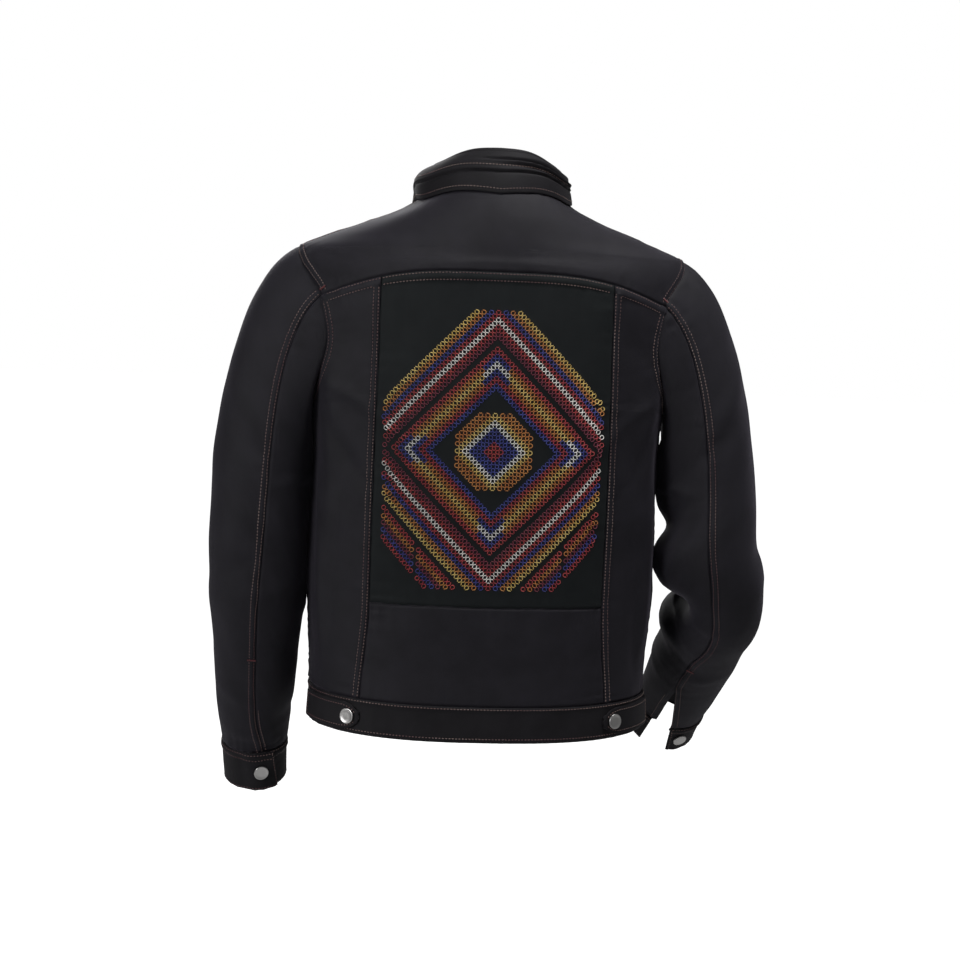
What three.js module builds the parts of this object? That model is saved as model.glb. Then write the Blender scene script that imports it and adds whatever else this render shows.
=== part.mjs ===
// A trucker jacket as worn: a closed body with a shoulder yoke, a panelled back, a
// turn-down collar, a waistband with side tabs, and two-piece sleeves with cuffs. The
// left arm hangs straight and its cuff is fastened; the right arm is bent at the elbow
// and its cuff hangs open at the slit. Every piece of cloth is a thin closed wall.
//
// Frame: millimetres, +X to the wearer's left, +Y to the back, +Z up. The origin is in
// the middle of the neck, level with the shoulders where the collar's edge meets them.
import * as THREE from "three";

// ---- Driving dimensions, in millimetres and degrees ----
const CLOTH = 2; // wall of a single panel
const BAND_CLOTH = 3; // wall of a doubled band: waistband, cuffs and front placket
const COLLAR_CLOTH = 2.4;
const SEAM_GAP = 0.3; // between pieces that are sewn together
const LEVEL_STEP = 29; // wanted spacing of points down the body

const NECK_LEVEL = 11;
const WAIST_LEVEL = -553;
const HEM_LEVEL = -593;
const PANEL_SEAM_LEVEL = -446; // cross seam of the centre back panel
const PLACKET_HALF = 20;
const PLACKET_TUCK = 7; // how far the under placket runs behind the right front

const SIDE_COLUMNS = 4; // spaces across a side back panel
const CENTRE_COLUMNS = 10; // across the centre back panel
const FRONT_COLUMNS = 7; // across one front
const WAISTBAND_COLUMNS = 48;

const SNAP_RADIUS = 8.5;
const SNAP_HEIGHT = 3.2;
const SNAP_SIDES = 12;

// Rings round the body, named by their height at the sides. `rise` is how far the ring
// is above that height at the centre back or front, and `corner` squares its outline.
const BODY_RINGS = [
  { level: 11, halfWidth: 76, back: 73, front: 70, backRise: 13, frontRise: -80, corner: 0 },
  { level: -9, halfWidth: 111, back: 91, front: 87, backRise: 20, frontRise: -81, corner: -0.04 },
  { level: -26, halfWidth: 155, back: 103, front: 103, backRise: 14, frontRise: -82, corner: -0.07 },
  { level: -42, halfWidth: 196, back: 110, front: 113, backRise: 6, frontRise: -84, corner: -0.08 },
  { level: -54, halfWidth: 221, back: 113, front: 119, backRise: 3, frontRise: -86, corner: -0.06 },
  { level: -114, halfWidth: 222, back: 118, front: 127, backRise: 38, frontRise: -51, corner: 0.03 },
  { level: -170, halfWidth: 211, back: 124, front: 131, backRise: 24, frontRise: -30, corner: 0.06 },
  { level: -228, halfWidth: 203, back: 127, front: 132, backRise: 8, frontRise: -10, corner: 0.07 },
  { level: -300, halfWidth: 198, back: 125, front: 131, backRise: 0, frontRise: 0, corner: 0.07 },
  { level: -400, halfWidth: 201, back: 119, front: 126, backRise: 0, frontRise: 0, corner: 0.06 },
  { level: -451, halfWidth: 200.5, back: 117, front: 122, backRise: 0, frontRise: 0, corner: 0.06 },
  { level: -520, halfWidth: 196, back: 119, front: 120, backRise: 0, frontRise: 0, corner: 0.06 },
  { level: -553, halfWidth: 195, back: 121, front: 121, backRise: -4, frontRise: 0, corner: 0.06 },
  { level: -593, halfWidth: 197, back: 124, front: 123, backRise: -4, frontRise: 0, corner: 0.06 },
];

// Large soft folds of the body: each runs from one place to the other, given by its
// turn round the body and its level.
const BODY_FOLDS = [
  { fromTurn: 34, fromLevel: -190, toTurn: 27, toLevel: -520, height: 5, width: 26 },
  { fromTurn: 146, fromLevel: -200, toTurn: 154, toLevel: -500, height: 5, width: 26 },
  { fromTurn: 47, fromLevel: -150, toTurn: 36, toLevel: -330, height: -4, width: 24 },
  { fromTurn: 133, fromLevel: -150, toTurn: 143, toLevel: -330, height: -4, width: 24 },
  { fromTurn: 321, fromLevel: -200, toTurn: 334, toLevel: -470, height: 5, width: 28 },
  { fromTurn: 219, fromLevel: -200, toTurn: 206, toLevel: -470, height: 5, width: 28 },
];
const FOLD_SCALE = 3.1; // millimetres round the body for each degree of turn

// The long seams of the back, by their distance from the centre back.
const PRINCESS_SEAMS = [
  { level: -114, x: 129 },
  { level: -220, x: 130 },
  { level: -340, x: 131 },
  { level: -446, x: 131 },
  { level: -553, x: 139 },
];

// The armhole, seen from the side: an egg from the shoulder tip down to the armpit.
const ARMHOLE = { tipLevel: -54, pitLevel: -228, back: 71, front: 64, skew: 0.2 };
const ARMHOLE_STEPS = 10; // from the armpit to the shoulder tip, on each of the two sides
const YOKE_STEP = 6; // the yoke's lower seam meets the armhole at this step
const SLEEVE_FRONT_STEP = 3; // and the sleeve's front seam at this one

// Rings down each arm, from the biceps to the cuff's edge. x is outward from the body,
// and `twist` is how far round the arm the seams have turned since the armhole.
const STRAIGHT_ARM = [
  { x: 257, y: 6, z: -330, halfWidth: 57, halfDepth: 68, twist: 28 },
  { x: 257.8, y: 8, z: -398, halfWidth: 56.6, halfDepth: 64, twist: 25 },
  { x: 258, y: 4, z: -451, halfWidth: 55.6, halfDepth: 60, twist: 21 },
  { x: 258, y: -6, z: -504, halfWidth: 50, halfDepth: 55, twist: 20 },
  { x: 259, y: -18, z: -557, halfWidth: 47, halfDepth: 50, twist: 21 },
  { x: 259, y: -28, z: -597, halfWidth: 43, halfDepth: 46, twist: 25 },
  { x: 259, y: -37, z: -634, halfWidth: 38, halfDepth: 41, twist: 38 },
  { x: 257, y: -48, z: -680, halfWidth: 36, halfDepth: 40, twist: 48 },
];
const BENT_ARM = [
  { x: 261, y: 8, z: -327, halfWidth: 57, halfDepth: 68, twist: 28 },
  { x: 263, y: 16, z: -388, halfWidth: 58, halfDepth: 66, twist: 28 },
  { x: 272, y: 14, z: -426, halfWidth: 56, halfDepth: 63, twist: 30 },
  { x: 281, y: 0, z: -458, halfWidth: 50, halfDepth: 59, twist: 34 },
  { x: 275, y: -28, z: -490, halfWidth: 51, halfDepth: 56, twist: 42 },
  { x: 269, y: -61, z: -528, halfWidth: 50, halfDepth: 51, twist: 48 },
  { x: 262, y: -93, z: -565, halfWidth: 47, halfDepth: 47, twist: 46 },
  { x: 255, y: -122, z: -598, halfWidth: 43, halfDepth: 43, twist: 42 },
  { x: 249, y: -149, z: -632, halfWidth: 42, halfDepth: 42, twist: 42 },
];

// Large creases of the sleeves. `along` is the distance down from the biceps ring and
// `turn` the place round the arm: 0 outward, 90 back, 180 inward, 270 front.
const STRAIGHT_ARM_FOLDS = [
  { along: 96, turn: 250, height: -6, length: 16, spread: 60 },
  { along: 122, turn: 235, height: 4, length: 18, spread: 60 },
];
const BENT_ARM_FOLDS = [
  { along: 31, turn: 188, height: -13, length: 15, spread: 45 },
  { along: 68, turn: 186, height: 7, length: 16, spread: 45 },
  { along: 113, turn: 192, height: -30, length: 15, spread: 54 },
  { along: 108, turn: 10, height: 5, length: 26, spread: 55 },
  { along: 172, turn: 192, height: 10, length: 17, spread: 45 },
  { along: 196, turn: 198, height: -6, length: 12, spread: 45 },
];

const LEFT = {
  name: "left",
  side: 1,
  rings: STRAIGHT_ARM,
  folds: STRAIGHT_ARM_FOLDS,
  cuffLength: 49,
  slitLength: 104,
  slitGap: 0, // degrees that the slit gapes at the cuff's edge
  cuffLap: 16, // degrees that the cuff's upper end laps past the seam
  cuffTuck: 22, // degrees that its covered end runs back under it
  snapInset: 28, // degrees from the upper end to the snap
  ringStep: 26, // wanted spacing of rings down the arm
};
const RIGHT = {
  name: "right",
  side: -1,
  rings: BENT_ARM,
  folds: BENT_ARM_FOLDS,
  cuffLength: 46,
  slitLength: 128,
  slitGap: 50,
  cuffLap: 0,
  cuffTuck: 0,
  snapInset: 20,
  ringStep: 19,
};
const CAP_STEPS = 6; // rings between the armhole and the biceps
const CAP_REACH = 0.8; // fullness of the sleeve head
const TIP_DROOP = 24; // slope of the sleeve where it leaves the shoulder tip
const PIT_DROOP = 70; // and where it leaves the armpit
const CUFF_SLOPE = 18; // degrees over which a cuff's lapped end rises over the other
const CUFF_LAP_CLEAR = 4; // degrees between the covered end and that rise
const CUFF_COLUMNS = 22;
const SLIT_CURVE = 0.85; // how the slit's gape grows towards the cuff's edge

// The collar, by the turn of its fold line on the wearer's left half. `stand` is its
// height there, and the leaf's edge lies `clear` above the body at its own place.
const COLLAR_ROWS = [
  { turn: -88.5, stand: 17, edgeTurn: -76, edgeLevel: -50, clear: 5 },
  { turn: -60, stand: 21, edgeTurn: -54, edgeLevel: -34, clear: 6 },
  { turn: -25, stand: 31, edgeTurn: -23, edgeLevel: -6, clear: 3.5 },
  { turn: 0, stand: 34, edgeTurn: 0, edgeLevel: 4, clear: 1.4 },
  { turn: 45, stand: 37, edgeTurn: 45, edgeLevel: -4, clear: 1.6 },
  { turn: 90, stand: 38, edgeTurn: 90, edgeLevel: -11, clear: 2.2 },
];
const COLLAR_COLUMNS = 16; // on each half
const COLLAR_INSET = 3; // from the neck's edge to the stand inside it
const COLLAR_SINK = 1; // how far the stand's foot is below the neck's edge
const COLLAR_LEAN = 0.2; // inward lean of the stand for each millimetre of height
const COLLAR_ROLL = 4.6; // outer radius of the fold
const COLLAR_BULGE = 3.2; // of the leaf, outward and upward, between its fold and its edge
// The leaf swells out further over the left shoulder.
const COLLAR_SWELL = { out: 3.5, turn: 2, spread: 42, crowding: 0.7 };

const BAND_OUT = 0.8; // how far a cuff or placket stands out from the cloth beside it
const WAISTBAND_OUT = 1.2; // and the waistband
const WAISTBAND_LAP = 16; // from the centre front to the covered end
const LAP_SLOPE = 8; // degrees over which a lapped end dips under the other
const LAP_LEAD = 0.2; // how far down that slope the covered end already is at the lap
const TAB = { fromTurn: 13, toTurn: 49, top: -558, bottom: -589, cloth: 2.6, end: 8 };
const TAB_SNAP_INSET = 4.5; // degrees from the tab's end to its snap
const TAB_COLUMNS = 10;
const TAB_CROWDING = 1.6; // crowds the tab's columns towards its rounded end
const TAB_END_SHARE = 0.97; // how far into the half round the last column is

const FRONT_SNAP_LEVELS = [-11, -104, -210, -316, -424, -526];
const WAISTBAND_SNAP_LEVEL = -574;

// ---- Reading the tables ----
const radians = (degrees) => (degrees * Math.PI) / 180;
const mix = (a, b, share) => a + (b - a) * share;
const clamp = (value, low, high) => Math.min(high, Math.max(low, value));
const smooth = (share) => {
  const t = clamp(share, 0, 1);
  return t * t * (3 - 2 * t);
};
const steps = (count) => Array.from({ length: count + 1 }, (_, n) => n / count);

// A smooth curve through one column of a table, read at `at` along its `key` column.
function read(table, key, column, at) {
  const last = table.length - 1;
  const forward = table[last][key] > table[0][key] ? 1 : -1;
  const found = table.findIndex((row, n) => n > 0 && forward * (row[key] - at) >= 0);
  const i = found < 0 ? last : found;
  const slope = (a, b) => (table[b][column] - table[a][column]) / (table[b][key] - table[a][key]);
  const tangent = (n) => {
    const before = slope(Math.max(n - 1, 0), Math.max(n, 1));
    const after = slope(Math.min(n, last - 1), Math.min(n + 1, last));
    return before * after <= 0 ? 0 : (before + after) / 2;
  };
  const span = table[i][key] - table[i - 1][key];
  const t = clamp((at - table[i - 1][key]) / span, 0, 1);
  return hermite(
    table[i - 1][column],
    span * tangent(i - 1),
    table[i][column],
    span * tangent(i),
    t,
  );
}

// The value between a and b that leaves a at the rate `out` and arrives at the rate `into`.
function hermite(a, out, b, into, t) {
  const t2 = t * t;
  const t3 = t2 * t;
  return (2 * t3 - 3 * t2 + 1) * a + (t3 - 2 * t2 + t) * out + (3 * t2 - 2 * t3) * b + (t3 - t2) * into;
}

// The outward normal of a surface given as point(u, v), from small steps of u and v.
function normalOf(point, u, v, stepU, stepV) {
  const du = point(u + stepU, v).sub(point(u - stepU, v));
  const dv = point(u, v + stepV).sub(point(u, v - stepV));
  return du.cross(dv).normalize();
}

// ---- The body: one surface that all its panels are cut from ----
// turn: 0 the wearer's left side, 90 centre back, 180 right side, 270 centre front.
function plainBodyPoint(turn, level) {
  const angle = radians(turn);
  const back = Math.sin(angle) >= 0;
  const ring = (column) => read(BODY_RINGS, "level", column, level);
  const square = 1 + ring("corner") * Math.sin(2 * angle) ** 2;
  const climb = smooth(Math.sin(angle) ** 2);
  return new THREE.Vector3(
    ring("halfWidth") * Math.cos(angle) * square,
    ring(back ? "back" : "front") * Math.sin(angle) * square,
    level + ring(back ? "backRise" : "frontRise") * climb,
  );
}

// Degrees from one turn to another by the shorter way, from -180 to 180.
const turnFrom = (start, turn) => ((((turn - start + 180) % 360) + 360) % 360) - 180;

function bodyFoldHeight(turn, level) {
  return BODY_FOLDS.reduce((sum, fold) => {
    const runX = (fold.toTurn - fold.fromTurn) * FOLD_SCALE;
    const runZ = fold.toLevel - fold.fromLevel;
    const hereX = turnFrom(fold.fromTurn, turn) * FOLD_SCALE;
    const hereZ = level - fold.fromLevel;
    const length = Math.hypot(runX, runZ);
    const share = (hereX * runX + hereZ * runZ) / length ** 2;
    const across = (hereX * runZ - hereZ * runX) / length;
    const fade = smooth(share * 4 + 0.5) * smooth((1 - share) * 4 + 0.5);
    return sum + fold.height * fade * Math.exp(-((across / fold.width) ** 2));
  }, 0);
}

function bodyNormal(turn, level) {
  const inside = clamp(level, HEM_LEVEL + 1, NECK_LEVEL - 1);
  return normalOf(plainBodyPoint, turn, inside, 0.5, 0.5);
}

// A point `out` millimetres outside the body's surface.
function bodyPoint(turn, level, out = 0) {
  const away = out + bodyFoldHeight(turn, level);
  return plainBodyPoint(turn, level).addScaledVector(bodyNormal(turn, level), away);
}

function bodyCell(turn, level, out = 0) {
  return { point: bodyPoint(turn, level, out), normal: bodyNormal(turn, level) };
}

// Halves the span from low to high until `isBefore` has found its end.
function search(low, high, isBefore) {
  let [before, after] = [low, high];
  for (let i = 0; i < 30; i++) {
    const middle = (before + after) / 2;
    if (isBefore(middle)) before = middle;
    else after = middle;
  }
  return before;
}

// The turn on the back (or front) where the body's ring is at that x.
function turnAtX(x, level, onBack = true) {
  if (onBack) return search(0, 180, (turn) => plainBodyPoint(turn, level).x > x);
  return 360 - search(0, 180, (turn) => plainBodyPoint(-turn, level).x > x);
}

// The armhole's edge on the left of the body: climb is -90 at the armpit and 90 at the tip.
function armholeEdge(climb, onBack) {
  const rise = Math.sin(radians(climb));
  const { tipLevel, pitLevel, back, front, skew } = ARMHOLE;
  const level = mix(pitLevel, tipLevel, (1 + rise) / 2);
  const reach = (onBack ? back : front) * Math.cos(radians(climb)) * (1 - skew * rise);
  const way = onBack ? 1 : -1;
  const turn = search(0, 80, (angle) => Math.abs(plainBodyPoint(way * angle, level).y) < reach);
  return { level, turn: way * turn };
}

const armholeClimb = (step) => -90 + (180 * step) / ARMHOLE_STEPS;
const armholeLevel = (step) => armholeEdge(armholeClimb(step), true).level;
const YOKE_LEVEL = armholeLevel(YOKE_STEP);

// The turn of the side edge of a back or front panel on the left: the shoulder ridge,
// the armhole or the side seam, whichever is at that level.
function sideLimit(level, onBack) {
  const { tipLevel, pitLevel } = ARMHOLE;
  if (level >= tipLevel || level <= pitLevel) return 0;
  const rise = (2 * (level - pitLevel)) / (tipLevel - pitLevel) - 1;
  return armholeEdge(THREE.MathUtils.radToDeg(Math.asin(rise)), onBack).turn;
}

// Levels from one seam to another, passing exactly through the armhole's steps.
function levelsBetween(top, bottom) {
  const stops = steps(ARMHOLE_STEPS).map((share) => armholeLevel(ARMHOLE_STEPS * (1 - share)));
  const inside = stops.filter((level) => level < top - 1 && level > bottom + 1);
  const knots = [top, ...inside, bottom];
  const levels = [top];
  for (let i = 1; i < knots.length; i++) {
    const length = plainBodyPoint(0, knots[i - 1]).distanceTo(plainBodyPoint(0, knots[i]));
    const parts = Math.max(1, Math.round(length / LEVEL_STEP));
    for (let n = 1; n <= parts; n++) levels.push(mix(knots[i - 1], knots[i], n / parts));
  }
  return levels;
}

// ---- Cloth walls ----
// Pulls the border of a grid of points in by half a seam's gap.
function pullInEdges(grid) {
  const moved = grid.map((row) => row.map((cell) => ({ ...cell, point: cell.point.clone() })));
  const shift = (i, j, toI, toJ) => {
    const way = grid[toI][toJ].point.clone().sub(grid[i][j].point).normalize();
    moved[i][j].point.addScaledVector(way, SEAM_GAP / 2);
  };
  const lastRow = grid.length - 1;
  const lastColumn = grid[0].length - 1;
  for (let j = 0; j <= lastColumn; j++) {
    shift(0, j, 1, j);
    shift(lastRow, j, lastRow - 1, j);
  }
  for (let i = 0; i <= lastRow; i++) {
    shift(i, 0, i, 1);
    shift(i, lastColumn, i, lastColumn - 1);
  }
  return moved;
}

// A closed wall from a grid of { point, normal }: its outer face lies `out` outside the
// points and it is `cloth` thick. Rows run down the piece and columns to the left of it.
function clothWall(name, grid, material, cloth = CLOTH, out = 0) {
  const rows = grid.length;
  const columns = grid[0].length;
  const positions = [out, out - cloth].flatMap((depth) =>
    grid.flat().flatMap(({ point, normal }) => point.clone().addScaledVector(normal, depth).toArray()),
  );
  const outer = (i, j) => i * columns + j;
  const inner = (i, j) => rows * columns + outer(i, j);
  const index = [];
  const quad = (a, b, c, d) => index.push(a, b, c, a, c, d);
  for (let i = 0; i + 1 < rows; i++) {
    for (let j = 0; j + 1 < columns; j++) {
      quad(outer(i, j), outer(i + 1, j), outer(i + 1, j + 1), outer(i, j + 1));
      quad(inner(i, j), inner(i, j + 1), inner(i + 1, j + 1), inner(i + 1, j));
    }
  }
  const right = columns - 1;
  for (let i = 0; i + 1 < rows; i++) {
    quad(outer(i, 0), inner(i, 0), inner(i + 1, 0), outer(i + 1, 0));
    quad(outer(i + 1, right), inner(i + 1, right), inner(i, right), outer(i, right));
  }
  const foot = rows - 1;
  for (let j = 0; j + 1 < columns; j++) {
    quad(outer(0, j + 1), inner(0, j + 1), inner(0, j), outer(0, j));
    quad(outer(foot, j), inner(foot, j), inner(foot, j + 1), outer(foot, j + 1));
  }
  const geometry = new THREE.BufferGeometry();
  geometry.setAttribute("position", new THREE.Float32BufferAttribute(positions, 3));
  geometry.setIndex(index);
  geometry.computeVertexNormals();
  const mesh = new THREE.Mesh(geometry, material);
  mesh.name = name;
  return mesh;
}

// A panel of the body. Its rows are levels; `edges` gives the turns of its columns.
function bodyPanel(name, levels, edges, material, cloth = CLOTH, out = 0) {
  const grid = levels.map((level) => edges(level).map((turn) => bodyCell(turn, level)));
  return clothWall(name, pullInEdges(grid), material, cloth, out);
}

const evenly = (start, end, columns) => (level) =>
  steps(columns).map((share) => mix(start(level), end(level), share));

const mirrored = (turns) => (level) => turns(level).map((turn) => 180 - turn).reverse();
const opposite = (turn) => (level) => 180 - turn(level);

// ---- Body pieces ----
function makeBack(materials) {
  const seam = (level) => turnAtX(read(PRINCESS_SEAMS, "level", "x", level), level);
  const limit = (level) => sideLimit(level, true);
  const side = evenly(limit, seam, SIDE_COLUMNS);
  const centre = evenly(seam, opposite(seam), CENTRE_COLUMNS);
  const foot = [
    ...side(YOKE_LEVEL),
    ...centre(YOKE_LEVEL).slice(1),
    ...mirrored(side)(YOKE_LEVEL).slice(1),
  ];
  const shares = foot.map((turn) => (turn - foot[0]) / (foot[foot.length - 1] - foot[0]));
  const yoke = (level) => shares.map((share) => mix(limit(level), 180 - limit(level), share));
  const down = levelsBetween(YOKE_LEVEL, WAIST_LEVEL);
  const upper = levelsBetween(YOKE_LEVEL, PANEL_SEAM_LEVEL);
  const lower = levelsBetween(PANEL_SEAM_LEVEL, WAIST_LEVEL);
  return [
    bodyPanel("yoke_back", levelsBetween(NECK_LEVEL, YOKE_LEVEL), yoke, materials.cloth),
    bodyPanel("back_centre_upper", upper, centre, materials.panel),
    bodyPanel("back_centre_lower", lower, centre, materials.cloth),
    bodyPanel("back_side_left", down, side, materials.cloth),
    bodyPanel("back_side_right", down, mirrored(side), materials.cloth),
  ];
}

function makeFront(materials) {
  const limit = (level) => 360 + sideLimit(level, false);
  const centre = (level) => turnAtX(PLACKET_HALF, level, false);
  const half = evenly(centre, limit, FRONT_COLUMNS);
  const across = (turns) => (level) => turns(level).map((turn) => 540 - turn).reverse();
  const over = evenly((level) => 540 - centre(level), centre, 2);
  const under = evenly(
    (level) => turnAtX(-PLACKET_HALF - PLACKET_TUCK, level, false),
    (level) => turnAtX(PLACKET_HALF - PLACKET_TUCK, level, false),
    2,
  );
  const underOut = BAND_OUT - BAND_CLOTH - 2 * SEAM_GAP;
  const neckToYoke = levelsBetween(NECK_LEVEL, YOKE_LEVEL);
  const down = levelsBetween(YOKE_LEVEL, WAIST_LEVEL);
  const strip = levelsBetween(NECK_LEVEL, WAIST_LEVEL);
  const belowNeck = strip.slice(1); // the under placket stops short of the neck's edge
  const pieces = [
    bodyPanel("front_yoke_left", neckToYoke, half, materials.cloth),
    bodyPanel("front_yoke_right", neckToYoke, across(half), materials.cloth),
    bodyPanel("front_left", down, half, materials.cloth),
    bodyPanel("front_right", down, across(half), materials.cloth),
    bodyPanel("placket_left", strip, over, materials.band, BAND_CLOTH, BAND_OUT),
    bodyPanel("placket_right", belowNeck, under, materials.cloth, CLOTH, underOut),
  ];
  FRONT_SNAP_LEVELS.forEach((level, n) => {
    const cell = bodyCell(270, level, BAND_OUT + SEAM_GAP);
    pieces.push(makeSnap(`front_snap_${n + 1}`, cell, materials.metal));
  });
  return pieces;
}

function makeWaistband(materials) {
  const overEnd = turnAtX(-PLACKET_HALF, WAIST_LEVEL, false) - 360;
  const underEnd = turnAtX(WAISTBAND_LAP, WAIST_LEVEL, false);
  const lapFrom = overEnd + 360 - LAP_SLOPE;
  const levels = steps(2).map((share) => mix(WAIST_LEVEL, HEM_LEVEL, share));
  const grid = levels.map((level) =>
    steps(WAISTBAND_COLUMNS).map((share) => {
      const turn = mix(overEnd, underEnd, share);
      const dip = smooth((turn - lapFrom) / LAP_SLOPE + LAP_LEAD) * (BAND_CLOTH + 2 * SEAM_GAP);
      return bodyCell(turn, level, -dip);
    }),
  );
  const band = clothWall("waistband", pullInEdges(grid), materials.band, BAND_CLOTH, WAISTBAND_OUT);
  const number = FRONT_SNAP_LEVELS.length + 1;
  const seat = bodyCell(270, WAISTBAND_SNAP_LEVEL, WAISTBAND_OUT + SEAM_GAP);
  return [band, makeSnap(`front_snap_${number}`, seat, materials.metal)];
}

// A tab that starts at the side seam and ends in a half round towards the centre back.
function makeTab(name, mirror, materials) {
  const { fromTurn, toTurn, top, bottom, cloth, end } = TAB;
  const middle = (top + bottom) / 2;
  const seat = WAISTBAND_OUT + 2 * SEAM_GAP + cloth;
  const place = (turn) => (mirror ? 180 - turn : turn);
  const grid = steps(4).map((down) => {
    const row = steps(TAB_COLUMNS).map((share) => {
      const turn = mix(fromTurn, toTurn, 1 - (1 - share) ** TAB_CROWDING);
      const into = clamp((turn - (toTurn - end)) / end, 0, TAB_END_SHARE);
      const half = ((top - bottom) / 2) * Math.sqrt(1 - into ** 2);
      return bodyCell(place(turn), middle + half * (1 - 2 * down));
    });
    return mirror ? row.reverse() : row;
  });
  const snapTurn = place(toTurn - TAB_SNAP_INSET);
  return [
    clothWall(`waist_tab_${name}`, grid, materials.band, cloth, seat),
    makeSnap(`tab_snap_${name}`, bodyCell(snapTurn, middle, seat + SEAM_GAP), materials.metal),
  ];
}

// ---- Collar: a stand inside the neck's edge, a rolled fold and a leaf turned down ----
function collarSection(row, mirror) {
  const neck = bodyPoint(row.turn, NECK_LEVEL);
  const normal = bodyNormal(row.turn, NECK_LEVEL);
  const radial = new THREE.Vector3(normal.x, normal.y, 0).normalize();
  const up = new THREE.Vector3(0, 0, 1);
  const place = (outward, height) =>
    neck.clone().addScaledVector(radial, outward).addScaledVector(up, height);
  const foot = -COLLAR_INSET - COLLAR_CLOTH;
  const shoulder = row.stand - COLLAR_ROLL;
  const lean = (height) => foot - COLLAR_LEAN * height;
  const points = steps(3).map((share) => {
    const height = mix(-COLLAR_SINK, shoulder, share);
    return place(lean(height), height);
  });
  const rollCentre = lean(shoulder) + COLLAR_ROLL;
  for (const angle of [135, 90, 45]) {
    const outward = rollCentre + COLLAR_ROLL * Math.cos(radians(angle));
    points.push(place(outward, shoulder + COLLAR_ROLL * Math.sin(radians(angle))));
  }
  const top = place(rollCentre + COLLAR_ROLL, shoulder);
  const { out, turn, spread, crowding } = COLLAR_SWELL;
  const near = mirror ? 0 : Math.exp(-(((row.turn - turn) / spread) ** 2));
  const edge = bodyPoint(row.edgeTurn, row.edgeLevel, row.clear + COLLAR_CLOTH);
  for (const share of steps(4)) {
    const bulge = COLLAR_BULGE * Math.sin(Math.PI * share);
    const swell = out * near * Math.sin(Math.PI * share ** crowding);
    const point = top.clone().lerp(edge, share);
    points.push(point.addScaledVector(radial, bulge + swell).addScaledVector(up, bulge));
  }
  if (mirror) for (const point of points) point.x = -point.x;
  return points;
}

function makeCollar(materials) {
  const columns = [];
  for (let j = -COLLAR_COLUMNS; j <= COLLAR_COLUMNS; j++) {
    const turn = mix(90, COLLAR_ROWS[0].turn, Math.abs(j) / COLLAR_COLUMNS);
    const row = { turn };
    for (const column of ["stand", "edgeTurn", "edgeLevel", "clear"]) {
      row[column] = read(COLLAR_ROWS, "turn", column, turn);
    }
    columns.push(collarSection(row, j > 0));
  }
  const point = (i, j) => columns[j][i];
  const lastRow = columns[0].length - 1;
  const lastColumn = columns.length - 1;
  const grid = columns[0].map((_, i) =>
    columns.map((__, j) => {
      const down = point(Math.min(i + 1, lastRow), j).clone().sub(point(Math.max(i - 1, 0), j));
      const along = point(i, Math.min(j + 1, lastColumn)).clone().sub(point(i, Math.max(j - 1, 0)));
      return { point: point(i, j), normal: down.cross(along).normalize() };
    }),
  );
  return clothWall("collar", grid, materials.band, COLLAR_CLOTH);
}

// ---- Sleeves ----
// The middle line of an arm, and the ring on it at a distance down from the biceps.
function makeArm({ side, rings }) {
  const centres = rings.map(({ x, y, z }) => new THREE.Vector3(side * x, y, z));
  const curve = new THREE.CatmullRomCurve3(centres, false, "centripetal");
  const length = curve.getLength();
  const stops = rings.map((ring, n) => ({ ...ring, at: n / (rings.length - 1) }));
  const ring = (along) => {
    const at = curve.getUtoTmapping(clamp(along / length, 0, 1));
    const way = curve.getTangent(at);
    const outward = new THREE.Vector3(side, 0, 0);
    outward.addScaledVector(way, -outward.dot(way)).normalize();
    return {
      centre: curve.getPoint(at),
      outward,
      backward: new THREE.Vector3().crossVectors(outward, way).multiplyScalar(side),
      halfWidth: read(stops, "at", "halfWidth", at),
      halfDepth: read(stops, "at", "halfDepth", at),
      twist: read(stops, "at", "twist", at),
    };
  };
  return { length, ring };
}

const turnBetween = (a, b) => Math.abs(((((a - b) % 360) + 540) % 360) - 180);

function armPoint(arm, folds, turn, along) {
  const { centre, outward, backward, halfWidth, halfDepth, twist } = arm.ring(along);
  const place = turn + twist;
  const lift = folds.reduce((sum, fold) => {
    const down = Math.exp(-(((along - fold.along) / fold.length) ** 2));
    const round = Math.exp(-((turnBetween(place, fold.turn) / fold.spread) ** 2));
    return sum + fold.height * down * round;
  }, 0);
  return centre
    .clone()
    .addScaledVector(outward, (halfWidth + lift) * Math.cos(radians(place)))
    .addScaledVector(backward, (halfDepth + lift) * Math.sin(radians(place)));
}

// The place on the armhole that a turn round the sleeve is sewn to.
function armholeAt(turn) {
  const whole = ((turn % 360) + 360) % 360;
  const onBack = whole <= 180;
  return armholeEdge(onBack ? 90 - whole : whole - 270, onBack);
}

// The head of the sleeve, from the armhole at down = 0 to the biceps at down = 1.
function capPoint(sleeve, arm, turn, down) {
  const { side, folds } = sleeve;
  const hole = armholeAt(turn);
  const droop = radians(mix(TIP_DROOP, PIT_DROOP, (1 - Math.cos(radians(turn))) / 2));
  const leave = new THREE.Vector3(Math.cos(droop), 0, -Math.sin(droop));
  const start = bodyPoint(hole.turn, hole.level, SEAM_GAP).addScaledVector(leave, SEAM_GAP / 2);
  start.x *= side;
  leave.x *= side;
  const end = armPoint(arm, folds, turn, 0);
  const arrive = armPoint(arm, folds, turn, 2).sub(end).normalize();
  const reach = CAP_REACH * start.distanceTo(end);
  const point = new THREE.Vector3();
  for (const axis of ["x", "y", "z"]) {
    point[axis] = hermite(start[axis], reach * leave[axis], end[axis], reach * arrive[axis], down);
  }
  return point;
}

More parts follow.
